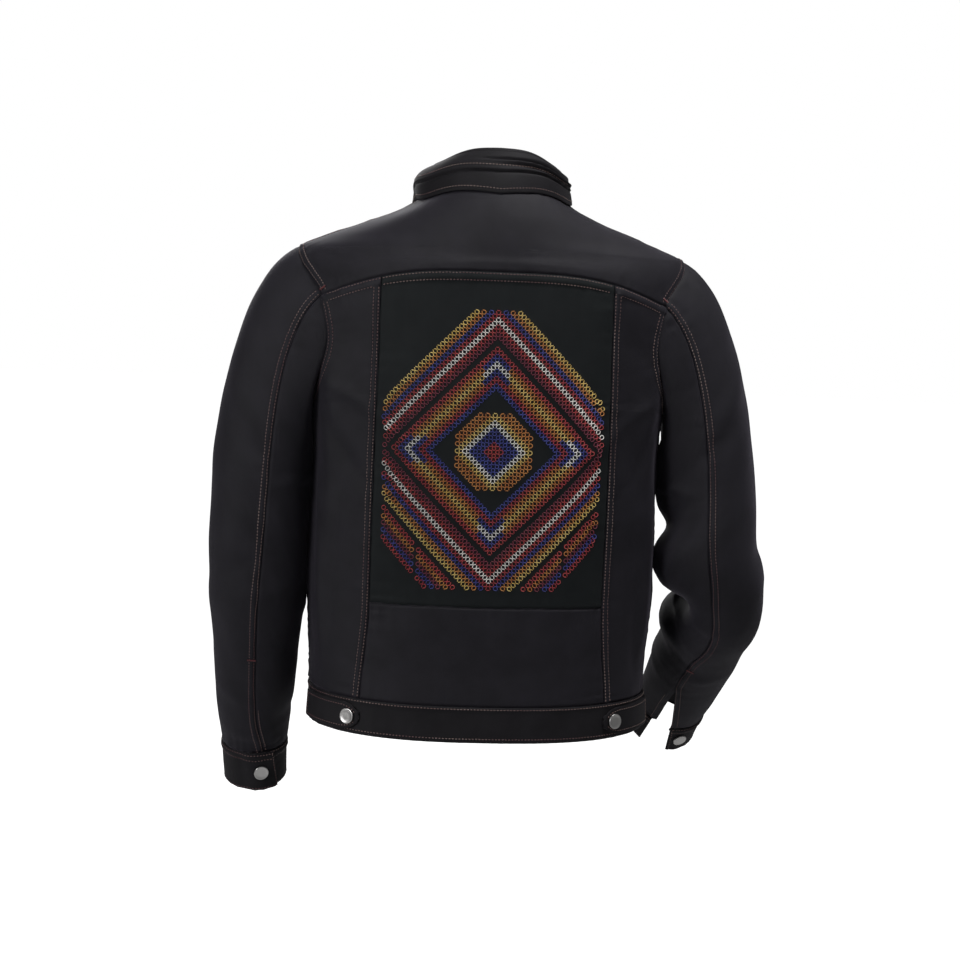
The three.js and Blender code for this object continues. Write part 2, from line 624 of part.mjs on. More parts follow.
// The sleeve's surface. turn: 0 at the shoulder tip, 90 back, 180 armpit, 270 front;
// along: millimetres down the arm from the biceps, or the share of the head below 0.
const sleevePoint = (sleeve, arm, turn, along) =>
  along < 0
    ? capPoint(sleeve, arm, turn, 1 + along)
    : armPoint(arm, sleeve.folds, turn, along);

function sleeveCell(sleeve, arm, turn, along, out = 0) {
  const step = along < 0 ? 0.01 : 1;
  const inside = clamp(along, -1 + 2 * step, arm.length - step);
  const at = along < 0 ? Math.min(inside, -step) : Math.max(inside, step);
  const normal = normalOf((u, v) => sleevePoint(sleeve, arm, u, v), turn, at, 1, step);
  normal.multiplyScalar(-sleeve.side);
  return { point: sleevePoint(sleeve, arm, turn, along).addScaledVector(normal, out), normal };
}

const turnAtStep = (step, onBack) =>
  onBack ? 90 - armholeClimb(step) : 270 + armholeClimb(step);
const BACK_SEAM = turnAtStep(YOKE_STEP, true); // runs on from the yoke's seam
const FRONT_SEAM = turnAtStep(SLEEVE_FRONT_STEP, false); // under the front of the arm

// Half the angle that the slit gapes at a distance down the arm.
function slitHalf(sleeve, arm, along) {
  const share = clamp((along - (arm.length - sleeve.slitLength)) / sleeve.slitLength, 0, 1);
  return (sleeve.slitGap / 2) * share ** SLIT_CURVE;
}

const rowOf = (sleeve, cells) => (sleeve.side > 0 ? cells : cells.reverse());

function sleevePanel(name, sleeve, arm, first, last, material) {
  const columns = Math.round((last - first) / (180 / ARMHOLE_STEPS));
  const end = arm.length - sleeve.cuffLength;
  const head = steps(CAP_STEPS).slice(0, -1).map((share) => share - 1);
  const rest = steps(Math.round(end / sleeve.ringStep)).map((share) => share * end);
  const grid = [...head, ...rest].map((along) => {
    const gape = slitHalf(sleeve, arm, along);
    const start = first === BACK_SEAM ? first + gape : first;
    const stop = last === BACK_SEAM + 360 ? last - gape : last;
    return rowOf(
      sleeve,
      steps(columns).map((share) => sleeveCell(sleeve, arm, mix(start, stop, share), along)),
    );
  });
  return clothWall(name, pullInEdges(grid), material);
}

function makeCuff(sleeve, arm, material) {
  const lift = BAND_CLOTH + 2 * SEAM_GAP;
  const grid = steps(2).map((down) => {
    const along = arm.length - sleeve.cuffLength * (1 - down);
    const gape = slitHalf(sleeve, arm, along);
    const start = BACK_SEAM + gape - sleeve.cuffTuck;
    const stop = BACK_SEAM + 360 - gape + sleeve.cuffLap;
    const lapFrom = BACK_SEAM + 360 - sleeve.cuffTuck - CUFF_SLOPE - CUFF_LAP_CLEAR;
    const cells = steps(CUFF_COLUMNS).map((share) => {
      const turn = mix(start, stop, share);
      const rise = sleeve.cuffLap > 0 ? smooth((turn - lapFrom) / CUFF_SLOPE) * lift : 0;
      return sleeveCell(sleeve, arm, turn, along, rise);
    });
    return rowOf(sleeve, cells);
  });
  return clothWall(`cuff_${sleeve.name}`, pullInEdges(grid), material, BAND_CLOTH, BAND_OUT);
}

function makeSleeve(sleeve, materials) {
  const { name, cuffLap, cuffLength } = sleeve;
  const arm = makeArm(sleeve);
  const middle = arm.length - cuffLength / 2;
  const cuffEnd = BACK_SEAM + 360 - slitHalf(sleeve, arm, middle) + cuffLap;
  const lift = cuffLap > 0 ? BAND_CLOTH + 2 * SEAM_GAP : 0;
  const seat = sleeveCell(sleeve, arm, cuffEnd - sleeve.snapInset, middle, BAND_OUT + lift + SEAM_GAP);
  return [
    sleevePanel(`sleeve_upper_${name}`, sleeve, arm, FRONT_SEAM, BACK_SEAM + 360, materials.cloth),
    sleevePanel(`sleeve_under_${name}`, sleeve, arm, BACK_SEAM, FRONT_SEAM, materials.cloth),
    makeCuff(sleeve, arm, materials.band),
    makeSnap(`cuff_snap_${name}`, seat, materials.metal),
  ];
}

// ---- Snaps: a dished metal cap on a short post ----
function makeSnap(name, { point, normal }, material) {
  const profile = [
    { radius: 0, height: 0 },
    { radius: 0.5, height: 0 },
    { radius: 0.5, height: 0.35 },
    { radius: 1, height: 0.45 },
    { radius: 0.93, height: 0.95 },
    { radius: 0.74, height: 0.86 },
    { radius: 0, height: 0.92 },
  ].map(({ radius, height }) => new THREE.Vector2(radius * SNAP_RADIUS, height * SNAP_HEIGHT));
  const mesh = new THREE.Mesh(new THREE.LatheGeometry(profile, SNAP_SIDES), material);
  mesh.name = name;
  mesh.quaternion.setFromUnitVectors(new THREE.Vector3(0, 1, 0), normal);
  mesh.position.copy(point);
  return mesh;
}

// ---- The jacket ----
function makeJacket() {
  const cloth = (color) => new THREE.MeshStandardMaterial({ color, roughness: 0.85, metalness: 0 });
  const materials = {
    cloth: cloth(0x17161b),
    band: cloth(0x1a181d),
    panel: cloth(0x121517),
    metal: new THREE.MeshStandardMaterial({ color: 0xb9b8b4, roughness: 0.38, metalness: 1 }),
  };
  const jacket = new THREE.Group();
  jacket.add(
    makeCollar(materials),
    ...makeBack(materials),
    ...makeFront(materials),
    ...makeWaistband(materials),
    ...makeTab("left", false, materials),
    ...makeTab("right", true, materials),
    ...makeSleeve(LEFT, materials),
    ...makeSleeve(RIGHT, materials),
  );
  return jacket;
}

export default makeJacket();
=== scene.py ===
"""A trucker jacket as worn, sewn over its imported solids.

Every piece of cloth is a net of points laid on the same surfaces that its solid is cut
from, with felled seams, puckers and creases raised on it, and then given its thickness.
Tables and sizes are in millimetres; meshes are written in metres.
"""

import math

import bpy
import numpy as np
from mathutils import Matrix, Vector
from mathutils.bvhtree import BVHTree


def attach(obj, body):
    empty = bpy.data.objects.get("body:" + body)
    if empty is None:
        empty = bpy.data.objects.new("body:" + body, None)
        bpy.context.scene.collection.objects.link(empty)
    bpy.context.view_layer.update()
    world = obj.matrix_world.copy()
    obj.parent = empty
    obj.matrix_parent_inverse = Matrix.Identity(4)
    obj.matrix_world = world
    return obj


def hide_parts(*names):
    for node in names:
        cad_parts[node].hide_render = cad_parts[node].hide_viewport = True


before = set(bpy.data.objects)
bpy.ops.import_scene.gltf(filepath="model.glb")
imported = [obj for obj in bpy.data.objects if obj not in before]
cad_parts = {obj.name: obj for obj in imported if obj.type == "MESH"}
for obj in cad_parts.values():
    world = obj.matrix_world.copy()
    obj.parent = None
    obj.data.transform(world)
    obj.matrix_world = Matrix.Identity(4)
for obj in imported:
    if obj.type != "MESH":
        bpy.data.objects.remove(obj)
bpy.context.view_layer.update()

MM = 0.001

# ---- Driving sizes, in millimetres and degrees ----
CLOTH = 2.0
BAND_CLOTH = 3.0
COLLAR_CLOTH = 2.4
SEAM_GAP = 0.3
NET_STEP = 4.4  # between points of the cloth, away from its seams
# Distances from a seam at which the cloth always has points.
SEAM_MARKS = (0, 0.7, 1.8, 3.0, 4.6, 6.6, 7.8, 8.8, 10.2, 12.2, 15.0, 18.4)

NECK_LEVEL = 11
WAIST_LEVEL = -553
HEM_LEVEL = -593
PANEL_SEAM_LEVEL = -446
PLACKET_HALF = 20
PLACKET_TUCK = 7
BAND_OUT = 0.8
WAISTBAND_OUT = 1.2


def table(names, *rows):
    """Columns of a table by name."""
    return dict(zip(names.split(), np.array(rows, float).T))


# Rings round the body by their height at the sides, as in the solids.
BODY_RINGS = table(
    "level half_width back front back_rise front_rise corner",
    (11, 76, 73, 70, 13, -80, 0),
    (-9, 111, 91, 87, 20, -81, -0.04),
    (-26, 155, 103, 103, 14, -82, -0.07),
    (-42, 196, 110, 113, 6, -84, -0.08),
    (-54, 221, 113, 119, 3, -86, -0.06),
    (-114, 222, 118, 127, 38, -51, 0.03),
    (-170, 211, 124, 131, 24, -30, 0.06),
    (-228, 203, 127, 132, 8, -10, 0.07),
    (-300, 198, 125, 131, 0, 0, 0.07),
    (-400, 201, 119, 126, 0, 0, 0.06),
    (-451, 200.5, 117, 122, 0, 0, 0.06),
    (-520, 196, 119, 120, 0, 0, 0.06),
    (-553, 195, 121, 121, -4, 0, 0.06),
    (-593, 197, 124, 123, -4, 0, 0.06),
)
# Large soft folds, as in the solids.
BODY_FOLDS = table(
    "from_turn from_level to_turn to_level height width",
    (34, -190, 27, -520, 5, 26),
    (146, -200, 154, -500, 5, 26),
    (47, -150, 36, -330, -4, 24),
    (133, -150, 143, -330, -4, 24),
    (321, -200, 334, -470, 5, 28),
    (219, -200, 206, -470, 5, 28),
)
FOLD_SCALE = 3.1  # millimetres round the body for each degree of turn
PRINCESS_SEAMS = table("level x", (-114, 129), (-220, 130), (-340, 131), (-446, 131), (-553, 139))
ARMHOLE_TIP, ARMHOLE_PIT = -54, -228
ARMHOLE_REACH = {"back": 71, "front": 64}
ARMHOLE_SKEW = 0.2
YOKE_CLIMB = 18  # the yoke's lower seam meets the armhole here
FRONT_SEAM_CLIMB = -36  # and the sleeve's front seam here

STRAIGHT_ARM = table(
    "x y z half_width half_depth twist",
    (257, 6, -330, 57, 68, 28),
    (257.8, 8, -398, 56.6, 64, 25),
    (258, 4, -451, 55.6, 60, 21),
    (258, -6, -504, 50, 55, 20),
    (259, -18, -557, 47, 50, 21),
    (259, -28, -597, 43, 46, 25),
    (259, -37, -634, 38, 41, 38),
    (257, -48, -680, 36, 40, 48),
)
BENT_ARM = table(
    "x y z half_width half_depth twist",
    (261, 8, -327, 57, 68, 28),
    (263, 16, -388, 58, 66, 28),
    (272, 14, -426, 56, 63, 30),
    (281, 0, -458, 50, 59, 34),
    (275, -28, -490, 51, 56, 42),
    (269, -61, -528, 50, 51, 48),
    (262, -93, -565, 47, 47, 46),
    (255, -122, -598, 43, 43, 42),
    (249, -149, -632, 42, 42, 42),
)
STRAIGHT_ARM_FOLDS = table(
    "along turn height length spread",
    (96, 250, -6, 16, 60),
    (122, 235, 4, 18, 60),
)
BENT_ARM_FOLDS = table(
    "along turn height length spread",
    (31, 188, -13, 15, 45),
    (68, 186, 7, 16, 45),
    (113, 192, -30, 15, 54),
    (108, 10, 5, 26, 55),
    (172, 192, 10, 17, 45),
    (196, 198, -6, 12, 45),
)
CAP_REACH = 0.8
TIP_DROOP = 24
PIT_DROOP = 70

COLLAR_ROWS = table(
    "turn stand edge_turn edge_level",
    (-88.5, 17, -76, -50),
    (-60, 21, -54, -34),
    (-25, 31, -23, -6),
    (0, 34, 0, 4),
    (45, 37, 45, -4),
    (90, 38, 90, -11),
)
# The leaf's crease, in shares of the leaf's width: where it runs at the centre back and
# how much lower at both shoulders and at the right one, the step and the groove along it,
# and how far above it a row of stitches runs.
COLLAR_CREASE_LINE = {
    "middle": 0.54, "shoulders": 0.07, "right": 0.04, "step": 0.05, "groove_below": 0.02,
    "groove_width": 0.028, "row_above": 0.13,
}
COLLAR_COLUMNS, STAND_ROWS, LEAF_ROWS = 151, 13, 46
COLLAR_ROLL_ANGLES = range(160, 19, -20)  # of the rows round the roll at its top
COLLAR_EDGE = {"drop": 0.6, "round": 1.8}
COLLAR_INSET = 3
COLLAR_SINK = 1
COLLAR_LEAN = 0.2
COLLAR_ROLL = 4.6
COLLAR_BULGE = 3.2
COLLAR_SWELL = {"out": 3.5, "turn": 2, "spread": 42, "crowding": 0.7}
COLLAR_SHOWN = 1.7  # thickness of its cloth where it shows
COLLAR_STEP = 1.8  # how far the leaf stands out above its crease
COLLAR_CREASE = 1.2  # depth of that crease
COLLAR_PLUMP = 3.0  # and how far its left half does in its middle
COLLAR_SEAT = 0.3  # how far off the yoke its edge lies
# Folds of the leaf, by the share of its width from the fold at the top: `middle` at the
# centre back and `right` at the wearer's right shoulder, shown from `from_away` on.
COLLAR_FOLDS = table(
    "middle right from_away height width",
    (0.24, 0.45, -0.3, -3.2, 0.042),
    (0.32, 0.51, -0.25, 2.2, 0.05),
    (0.41, 0.57, -0.05, -2.6, 0.035),
    (0.12, 0.3, 0.1, 1.6, 0.07),
)

WAISTBAND_COLUMNS = 250
BAND_STEP = 3.0  # between the rows of a waistband's or a cuff's points
CUFF_ROUND = 250  # round a cuff
LAP = 16
LAP_SLOPE = 8
LAP_LEAD = 0.2
TAB = {"from": 13, "to": 49, "top": -558, "bottom": -589, "cloth": 2.6, "end": 8}
TAB_NET = {"columns": 44, "rows": 22, "crowding": 1.6, "blunt": 0.985}
TAB_EDGE = {"drop": 0.7, "round": 1.6}
TAB_SNAP_INSET = 4.5
CUFF_SLOPE = 18
CUFF_LAP_CLEAR = 4
SLIT_CURVE = 0.85
FRONT_SNAP_LEVELS = (-11, -104, -210, -316, -424, -526)
WAISTBAND_SNAP_LEVEL = -574

SLEEVES = {
    "left": {
        "side": 1, "rings": STRAIGHT_ARM, "folds": STRAIGHT_ARM_FOLDS, "cuff": 49,
        "slit": 104, "gape": 0, "lap": 16, "tuck": 22, "snap": 28,
    },
    "right": {
        "side": -1, "rings": BENT_ARM, "folds": BENT_ARM_FOLDS, "cuff": 46,
        "slit": 128, "gape": 50, "lap": 0, "tuck": 0, "snap": 20,
    },
}

# The unevenness of hanging cloth is a sum of waves of random directions.
WAVE_SEED, WAVE_COUNT, WAVE_LENGTHS = 11, 14, (34, 110)

# Seams, in millimetres. A felled seam's band stands up and carries rows of stitches.
SEAM_RISE = 1.3  # how far the band stands up
SEAM_SLOPE = 1.5  # over which it falls to the plain cloth
EDGE_DROP = 2.1  # how far a seam's edge sinks
ARMHOLE_DROP = 0.5  # less at the armholes, whose cloth faces the sleeve's
EDGE_ROUND = 2.2
STITCH_DIP = 0.8
STITCH_DIP_WIDTH = 1.1
SEAM_FADE = 5  # over which a seam's relief starts and ends
# Puckers along a seam: their height, how far they reach, and their uneven spacing.
PUCKERS = {"height": 0.8, "reach": 17, "clear": 2.5, "pitch": 11.5, "drift": 6.7, "swell": 19}
TUCK_LENGTH = 4.5  # how far an allowance runs on under the piece beside it
TUCK_DEPTH = 2.4
# Each kind of felled seam: the width of its band and its rows' distances from the edge.
PLAIN_SEAM = {"band": 8.2, "rows": (1.9, 7.6)}
YOKE_SEAM = {"band": 10.2, "rows": (2.2, 9.6)}
PANEL_SEAM = {"band": 7.2, "rows": (1.6, 6.9)}
SLEEVE_SEAM = {"band": 7.4, "rows": (1.7, 7.0)}
CUFF_SEAM = {"band": 8.4, "rows": (2.0, 8.0)}
WAIST_SEAM = {"band": 3.6, "rows": (2.4,)}
# Rows of stitches along folded edges, by their distance from the edge.
PLACKET_ROWS = {"first": (2.2, 8.5), "last": (2.2,)}
HEM_ROW, BAND_END_ROW, CUFF_ROW, COLLAR_ROW, COLLAR_END_ROW = 4.6, 3.0, 3.2, 5.0, 4.0
TAB_ROW, TAB_END_ROWS = 3.6, (3.0, 6.2)
SLIT_ROW, SLIT_ROW_LENGTH = 3.0, 60
ROW_START = 11  # where a row starts below another seam's band

# Stitches and bars of thread.
STITCH_PITCH = 3.7
STITCH_LENGTH = 2.4
STITCH_WIDTH = 1.15
STITCH_HEIGHT = 0.9
STITCH_LIFT = 0.1
BAR = {"stitches": 12, "width": 2.4, "lift": 0.3, "crowding": 1.15}
YOKE_BAR = {"in": 5, "up": 8, "share": 0.6, "length": 8}
SLIT_BAR = {"in": 4.3, "up": 124, "share": 0.5, "length": 9}  # at the top of the slit's facing

# Gathers under the back yoke: they start below its band and fade down the panel.
GATHERS = {"height": 0.75, "start": 8, "fade": 34, "wave": 2.9, "drift": 13, "swell": 17}

SNAP_RADIUS = 8.5
SNAP_POST = 4.2
SNAP_LIFT = 0.9
SNAP_CAP = 1.9
# How a snap's two faces are worked: each step insets and then raises, or only raises.
SNAP_STEPS = {
    "outer": ((1.0, 0.25), (0.9, -0.5), (3.4, 0.18)),
    "inner": ((SNAP_RADIUS - SNAP_POST, 0), (0, -SNAP_LIFT)),
}

HEAD_LENGTH = 190  # millimetres of sleeve head for reading its creases

# The embroidery's lattice and design.
CELL = 4.0  # half the diagonal of the lattice that the loops are worked on
LOOP_RADIUS = 2.25
NECK_HALF = 0.75  # half the opening between two joined loops
FLOSS = 1.0  # thickness of the thread
MOTIF_LEVEL = -272  # the middle of the design
MOTIF_DEPTH = 125  # about how far back the panel lies
MOTIF_SIDE = 31  # lattice steps to the sides
MOTIF_TOP, MOTIF_BOTTOM = 38, -38  # and up and down
SHOULDER_RING = 44  # the design's upper corners are cut off at this ring
FLOSS_COLOURS = {
    "gold": ((0.66, 0.45, 0.1), (0.8, 0.62, 0.22)),
    "orange": ((0.5, 0.17, 0.035), (0.64, 0.28, 0.07)),
    "red": ((0.36, 0.028, 0.04), (0.5, 0.065, 0.06)),
    "blue": ((0.035, 0.04, 0.24), (0.065, 0.085, 0.38)),
    "white": ((0.85, 0.85, 0.82), (0.92, 0.9, 0.87)),
    "wine": ((0.17, 0.018, 0.045), (0.26, 0.04, 0.065)),
}
RING_THREADS = {
    18: "blue", 20: "red", 22: "orange", 24: "gold", 26: "orange", 28: "red",
    32: "wine", 34: "red", 36: "white", 38: "red", 40: "blue", 42: "orange", 44: "gold",
    48: "red", 50: "orange", 52: "wine", 54: "blue", 56: "red",
}  # by the distance from the middle, counted along the lattice

# The stage, in metres and degrees.
FLOOR_LEVEL = -1.35
CAMERA = {"azimuth": 4.36, "elevation": 5.22, "roll": 2.15, "distance": 2.0986}
AIM = (0.0044, 0.0, -0.3146)
FOCAL = 1803.4 / 960  # focal length for a sensor one wide
SENSOR = 36
LIGHTS = (
    # name, place, aim, size, power
    ("key", (2.3, 2.2, 0.7), (0, 0, -0.3), 1.4, 53),
    ("high", (-0.62, 0.42, 1.5), (-0.15, 0, -0.1), 0.7, 28),
    ("front", (0.8, -3.2, 1.2), (0, 0, -0.3), 2.4, 40),
)
STUDIO_GLOW = 0.14

# Smaller creases of the body, which only the cloth shows: `bow` curves a crease.
BODY_CREASES = table(
    "from_turn from_level to_turn to_level height width bow",
    (30, -205, 62, -262, 1.8, 7, 6),
    (28, -226, 52, -318, -1.6, 9, -8),
    (22, -300, 30, -500, 1.9, 9, 7),
    (38, -330, 31, -515, -1.3, 8, 5),
    (149, -214, 122, -276, 1.7, 7, -6),
    (152, -232, 130, -330, -1.6, 9, 8),
    (156, -320, 150, -505, 1.8, 9, -6),
    (143, -360, 148, -520, -1.2, 8, -5),
    (60, -470, 118, -492, 0.7, 14, 10),
    (66, -520, 112, -512, -0.7, 12, -6),
    (326, -215, 300, -290, 1.8, 9, 8),
    (214, -210, 240, -300, 1.8, 9, -8),
    (338, -330, 330, -505, 1.9, 10, 7),
    (203, -300, 210, -510, 1.9, 10, -7),
    (312, -440, 290, -540, 1.2, 12, 6),
    (232, -430, 250, -535, 1.1, 12, -6),
    (8, -260, 4, -520, 1.6, 9, 5),
    (171, -270, 176, -510, 1.6, 9, -5),
    (2, -226, 4, -420, 2.8, 22, 0),
    (178, -226, 178, -320, 2.6, 22, 0),
    (180, -325, 180, -425, -3.0, 24, 0),
)
# Smaller creases of the sleeves; `slant` is how far one drops for each degree round.
STRAIGHT_CREASES = table(
    "along turn height length spread slant",
    (-70, 60, 1.6, 11, 34, 0.5),
    (-100, 186, 5.6, 70, 38, 0),
    (0, 186, 2.4, 50, 36, 0),
    (-40, 80, -1.4, 10, 36, 0.5),
    (-18, 140, 2.0, 9, 40, -0.4),
    (40, 110, 1.2, 12, 44, 0.35),
    (86, 60, -1.3, 10, 50, -0.3),
    (112, 90, 1.5, 9, 52, -0.25),
    (140, 200, 2.0, 9, 46, 0.2),
    (172, 120, -1.2, 8, 48, 0.3),
    (205, 300, 1.5, 9, 52, -0.2),
    (236, 70, 1.3, 8, 46, 0.2),
    (262, 160, -1.4, 8, 52, -0.15),
    (288, 100, 1.5, 7, 60, 0.12),
)
BENT_CREASES = table(
    "along turn height length spread slant",
    (-74, 70, 1.6, 11, 34, 0.5),
    (-76, 186, 7.4, 56, 38, 0),
    (-44, 100, -1.6, 10, 36, 0.4),
    (-14, 150, 2.2, 9, 36, -0.4),
    (22, 150, -2.0, 8, 34, 0.35),
    (66, 140, 2.6, 8, 40, 0.5),
    (104, 150, -2.6, 8, 40, 0.3),
    (126, 110, 2.2, 9, 36, -0.4),
    (150, 150, 2.4, 8, 38, -0.5),
    (186, 140, -2.0, 8, 40, -0.3),
    (214, 90, 1.6, 8, 44, 0.2),
    (236, 190, 1.8, 8, 44, -0.2),
    (140, 30, 1.8, 14, 34, 0.2),
    (92, 340, 1.6, 14, 40, -0.2),
)


# ---- Reading the tables ----
def smooth(share):
    t = np.clip(share, 0, 1)
    return t * t * (3 - 2 * t)


def hermite(start, leaving, end, arriving, t):
    """The value from start to end that leaves and arrives at those rates."""
    t2, t3 = t * t, t * t * t
    return (
        (2 * t3 - 3 * t2 + 1) * start
        + (t3 - 2 * t2 + t) * leaving
        + (3 * t2 - 2 * t3) * end
        + (t3 - t2) * arriving
    )


def read(rows, key, column, at):
    """A smooth curve through one column of a table, read at `at` along its key column."""
    x, y = rows[key], rows[column]
    if x[0] > x[-1]:
        x, y = x[::-1], y[::-1]
    slope = np.diff(y) / np.diff(x)
    before = np.concatenate([slope[:1], slope])
    after = np.concatenate([slope, slope[-1:]])
    tangent = np.where(before * after <= 0, 0, (before + after) / 2)
    i = np.clip(np.searchsorted(x, at) - 1, 0, len(x) - 2)
    span = x[i + 1] - x[i]
    t = np.clip((at - x[i]) / span, 0, 1)
    return hermite(y[i], span * tangent[i], y[i + 1], span * tangent[i + 1], t)


def unit(vectors):
    return vectors / np.maximum(np.linalg.norm(vectors, axis=-1, keepdims=True), 1e-9)


def search(low, high, is_before):
    """The places where is_before ends, between low and high."""
    low, high = np.array(low, float), np.array(high, float)
    for _ in range(28):
        middle = (low + high) / 2
        before = is_before(middle)
        low, high = np.where(before, middle, low), np.where(before, high, middle)
    return low


# ---- The body's surface ----
# turn: 0 the wearer's left side, 90 centre back, 180 right side, 270 centre front.
def plain_body(turn, level):
    angle = np.radians(turn)
    sine, cosine = np.sin(angle), np.cos(angle)
    back = sine >= 0
    square = 1 + read(BODY_RINGS, "level", "corner", level) * np.sin(2 * angle) ** 2
    depth = np.where(
        back,
        read(BODY_RINGS, "level", "back", level),
        read(BODY_RINGS, "level", "front", level),
    )
    rise = np.where(
        back,
        read(BODY_RINGS, "level", "back_rise", level),
        read(BODY_RINGS, "level", "front_rise", level),
    )
    x = read(BODY_RINGS, "level", "half_width", level) * cosine * square
    return np.stack([x, depth * sine * square, level + rise * smooth(sine**2)], -1)


def turn_from(start, turn):
    """Degrees from one turn to another by the shorter way, from -180 to 180."""
    return np.mod(turn - start + 180, 360) - 180


def folds_at(rows, turn, level):
    """The height of a table of body folds at a place."""
    height = np.zeros(np.broadcast(turn, level).shape)
    for n in range(len(rows["height"])):
        fold = {name: column[n] for name, column in rows.items()}
        run_x = (fold["to_turn"] - fold["from_turn"]) * FOLD_SCALE
        run_z = fold["to_level"] - fold["from_level"]
        here_x = turn_from(fold["from_turn"], turn) * FOLD_SCALE
        here_z = level - fold["from_level"]
        length = math.hypot(run_x, run_z)
        share = (here_x * run_x + here_z * run_z) / length**2
        bow = fold.get("bow", 0) * 4 * share * (1 - share)
        across = (here_x * run_z - here_z * run_x) / length + bow
        fade = smooth(share * 4 + 0.5) * smooth((1 - share) * 4 + 0.5)
        height = height + fold["height"] * fade * np.exp(-((across / fold["width"]) ** 2))
    return height


def body_normal(turn, level):
    inside = np.clip(level, HEM_LEVEL + 1, NECK_LEVEL - 1)
    round_it = plain_body(turn + 0.5, inside) - plain_body(turn - 0.5, inside)
    up_it = plain_body(turn, inside + 0.5) - plain_body(turn, inside - 0.5)
    return unit(np.cross(round_it, up_it))


def body(turn, level, out=0.0):
    """Points and normals `out` millimetres outside the body's surface."""
    turn, level = np.broadcast_arrays(np.asarray(turn, float), np.asarray(level, float))
    normal = body_normal(turn, level)
    away = out + folds_at(BODY_FOLDS, turn, level)
    return plain_body(turn, level) + normal * away[..., None], normal


def turn_at_x(x, level, on_back=True):
    """The turn where the body's ring at that level is at that x."""
    level = np.asarray(level, float)
    ends = np.zeros(level.shape), np.full(level.shape, 180.0)
    if on_back:
        return search(*ends, lambda turn: plain_body(turn, level)[..., 0] > x)
    return 360 - search(*ends, lambda turn: plain_body(-turn, level)[..., 0] > x)


def armhole_edge(climb, on_back):
    """Turn and level of the armhole's edge: climb is -90 at the armpit, 90 at the tip."""
    climb = np.asarray(climb, float)
    rise = np.sin(np.radians(climb))
    level = ARMHOLE_PIT + (ARMHOLE_TIP - ARMHOLE_PIT) * (1 + rise) / 2
    size = np.where(on_back, ARMHOLE_REACH["back"], ARMHOLE_REACH["front"])
    reach = size * np.cos(np.radians(climb)) * (1 - ARMHOLE_SKEW * rise)
    way = np.where(on_back, 1, -1)
    ends = np.zeros(climb.shape), np.full(climb.shape, 80.0)
    turn = search(*ends, lambda angle: np.abs(plain_body(way * angle, level)[..., 1]) < reach)
    return way * turn, level


YOKE_LEVEL = float(armhole_edge(YOKE_CLIMB, True)[1])
BACK_SEAM = 90 - YOKE_CLIMB
FRONT_SEAM = 270 + FRONT_SEAM_CLIMB


def side_limit(level, on_back):
    """Turn of a panel's side edge: shoulder ridge, armhole or side seam."""
    level = np.asarray(level, float)
    rise = 2 * (level - ARMHOLE_PIT) / (ARMHOLE_TIP - ARMHOLE_PIT) - 1
    climb = np.degrees(np.arcsin(np.clip(rise, -1, 1)))
    return np.where(np.abs(rise) < 1, armhole_edge(climb, on_back)[0], 0.0)


# ---- Nets of cloth ----
def spread(length, fine_start=True, step=NET_STEP):
    """Shares of a length, a step apart and closer together beside its seams."""
    start = np.array(SEAM_MARKS if fine_start else (0.0,), float)
    end = length - np.array(SEAM_MARKS[::-1], float)
    inner = np.linspace(start[-1], end[0], max(2, round((end[0] - start[-1]) / step) + 1))
    return np.concatenate([start[:-1], inner, end[1:]]) / length


def levels_between(top, bottom, turn=90):
    """Levels of a panel's rows, with more where they meet the ends of the armholes."""
    dense = np.linspace(top, bottom, 400)
    points = plain_body(np.full(dense.shape, float(turn)), dense)
    run = lengths(points, 0)
    levels = np.interp(spread(run[-1]) * run[-1], run, dense)
    climbs = np.array([-86, -82, -77, -72, -66, 66, 72, 77, 82, 86], float)
    extra = armhole_edge(climbs, True)[1]
    extra = np.append(extra, [ARMHOLE_PIT, ARMHOLE_TIP])
    extra = extra[(extra < top - 1) & (extra > bottom + 1)]
    return np.sort(np.concatenate([levels, extra]))[::-1]


def lengths(points, axis):
    """Distance along each row or column of a net, from its start."""
    step = np.linalg.norm(np.diff(points, axis=axis), axis=-1)
    return np.insert(np.cumsum(step, axis=axis), 0, 0, axis=axis)


def at_run(wanted, run, line):
    """The points of a line at distances along it."""
    return np.stack([np.interp(wanted, run, line[:, k]) for k in range(3)], -1)


def pull_in(points):
    """Moves a net's border in by half a seam's gap."""
    moved = points.copy()
    half = SEAM_GAP / 2
    moved[0] += unit(points[1] - points[0]) * half
    moved[-1] += unit(points[-2] - points[-1]) * half
    moved[:, 0] += unit(points[:, 1] - points[:, 0]) * half
    moved[:, -1] += unit(points[:, -2] - points[:, -1]) * half
    return moved


rng = np.random.default_rng(WAVE_SEED)
WAVES = [
    (unit(rng.normal(size=3)), rng.uniform(*WAVE_LENGTHS), rng.uniform(0, 2 * math.pi))
    for _ in range(WAVE_COUNT)
]


def undulation(points):
    """The slight unevenness of hanging cloth, from -1 to 1 or so."""
    total = np.zeros(points.shape[:-1])
    for direction, wavelength, phase in WAVES:
        total += np.sin(points @ direction * (2 * math.pi / wavelength) + phase)
    return total / math.sqrt(len(WAVES) / 2) / 2


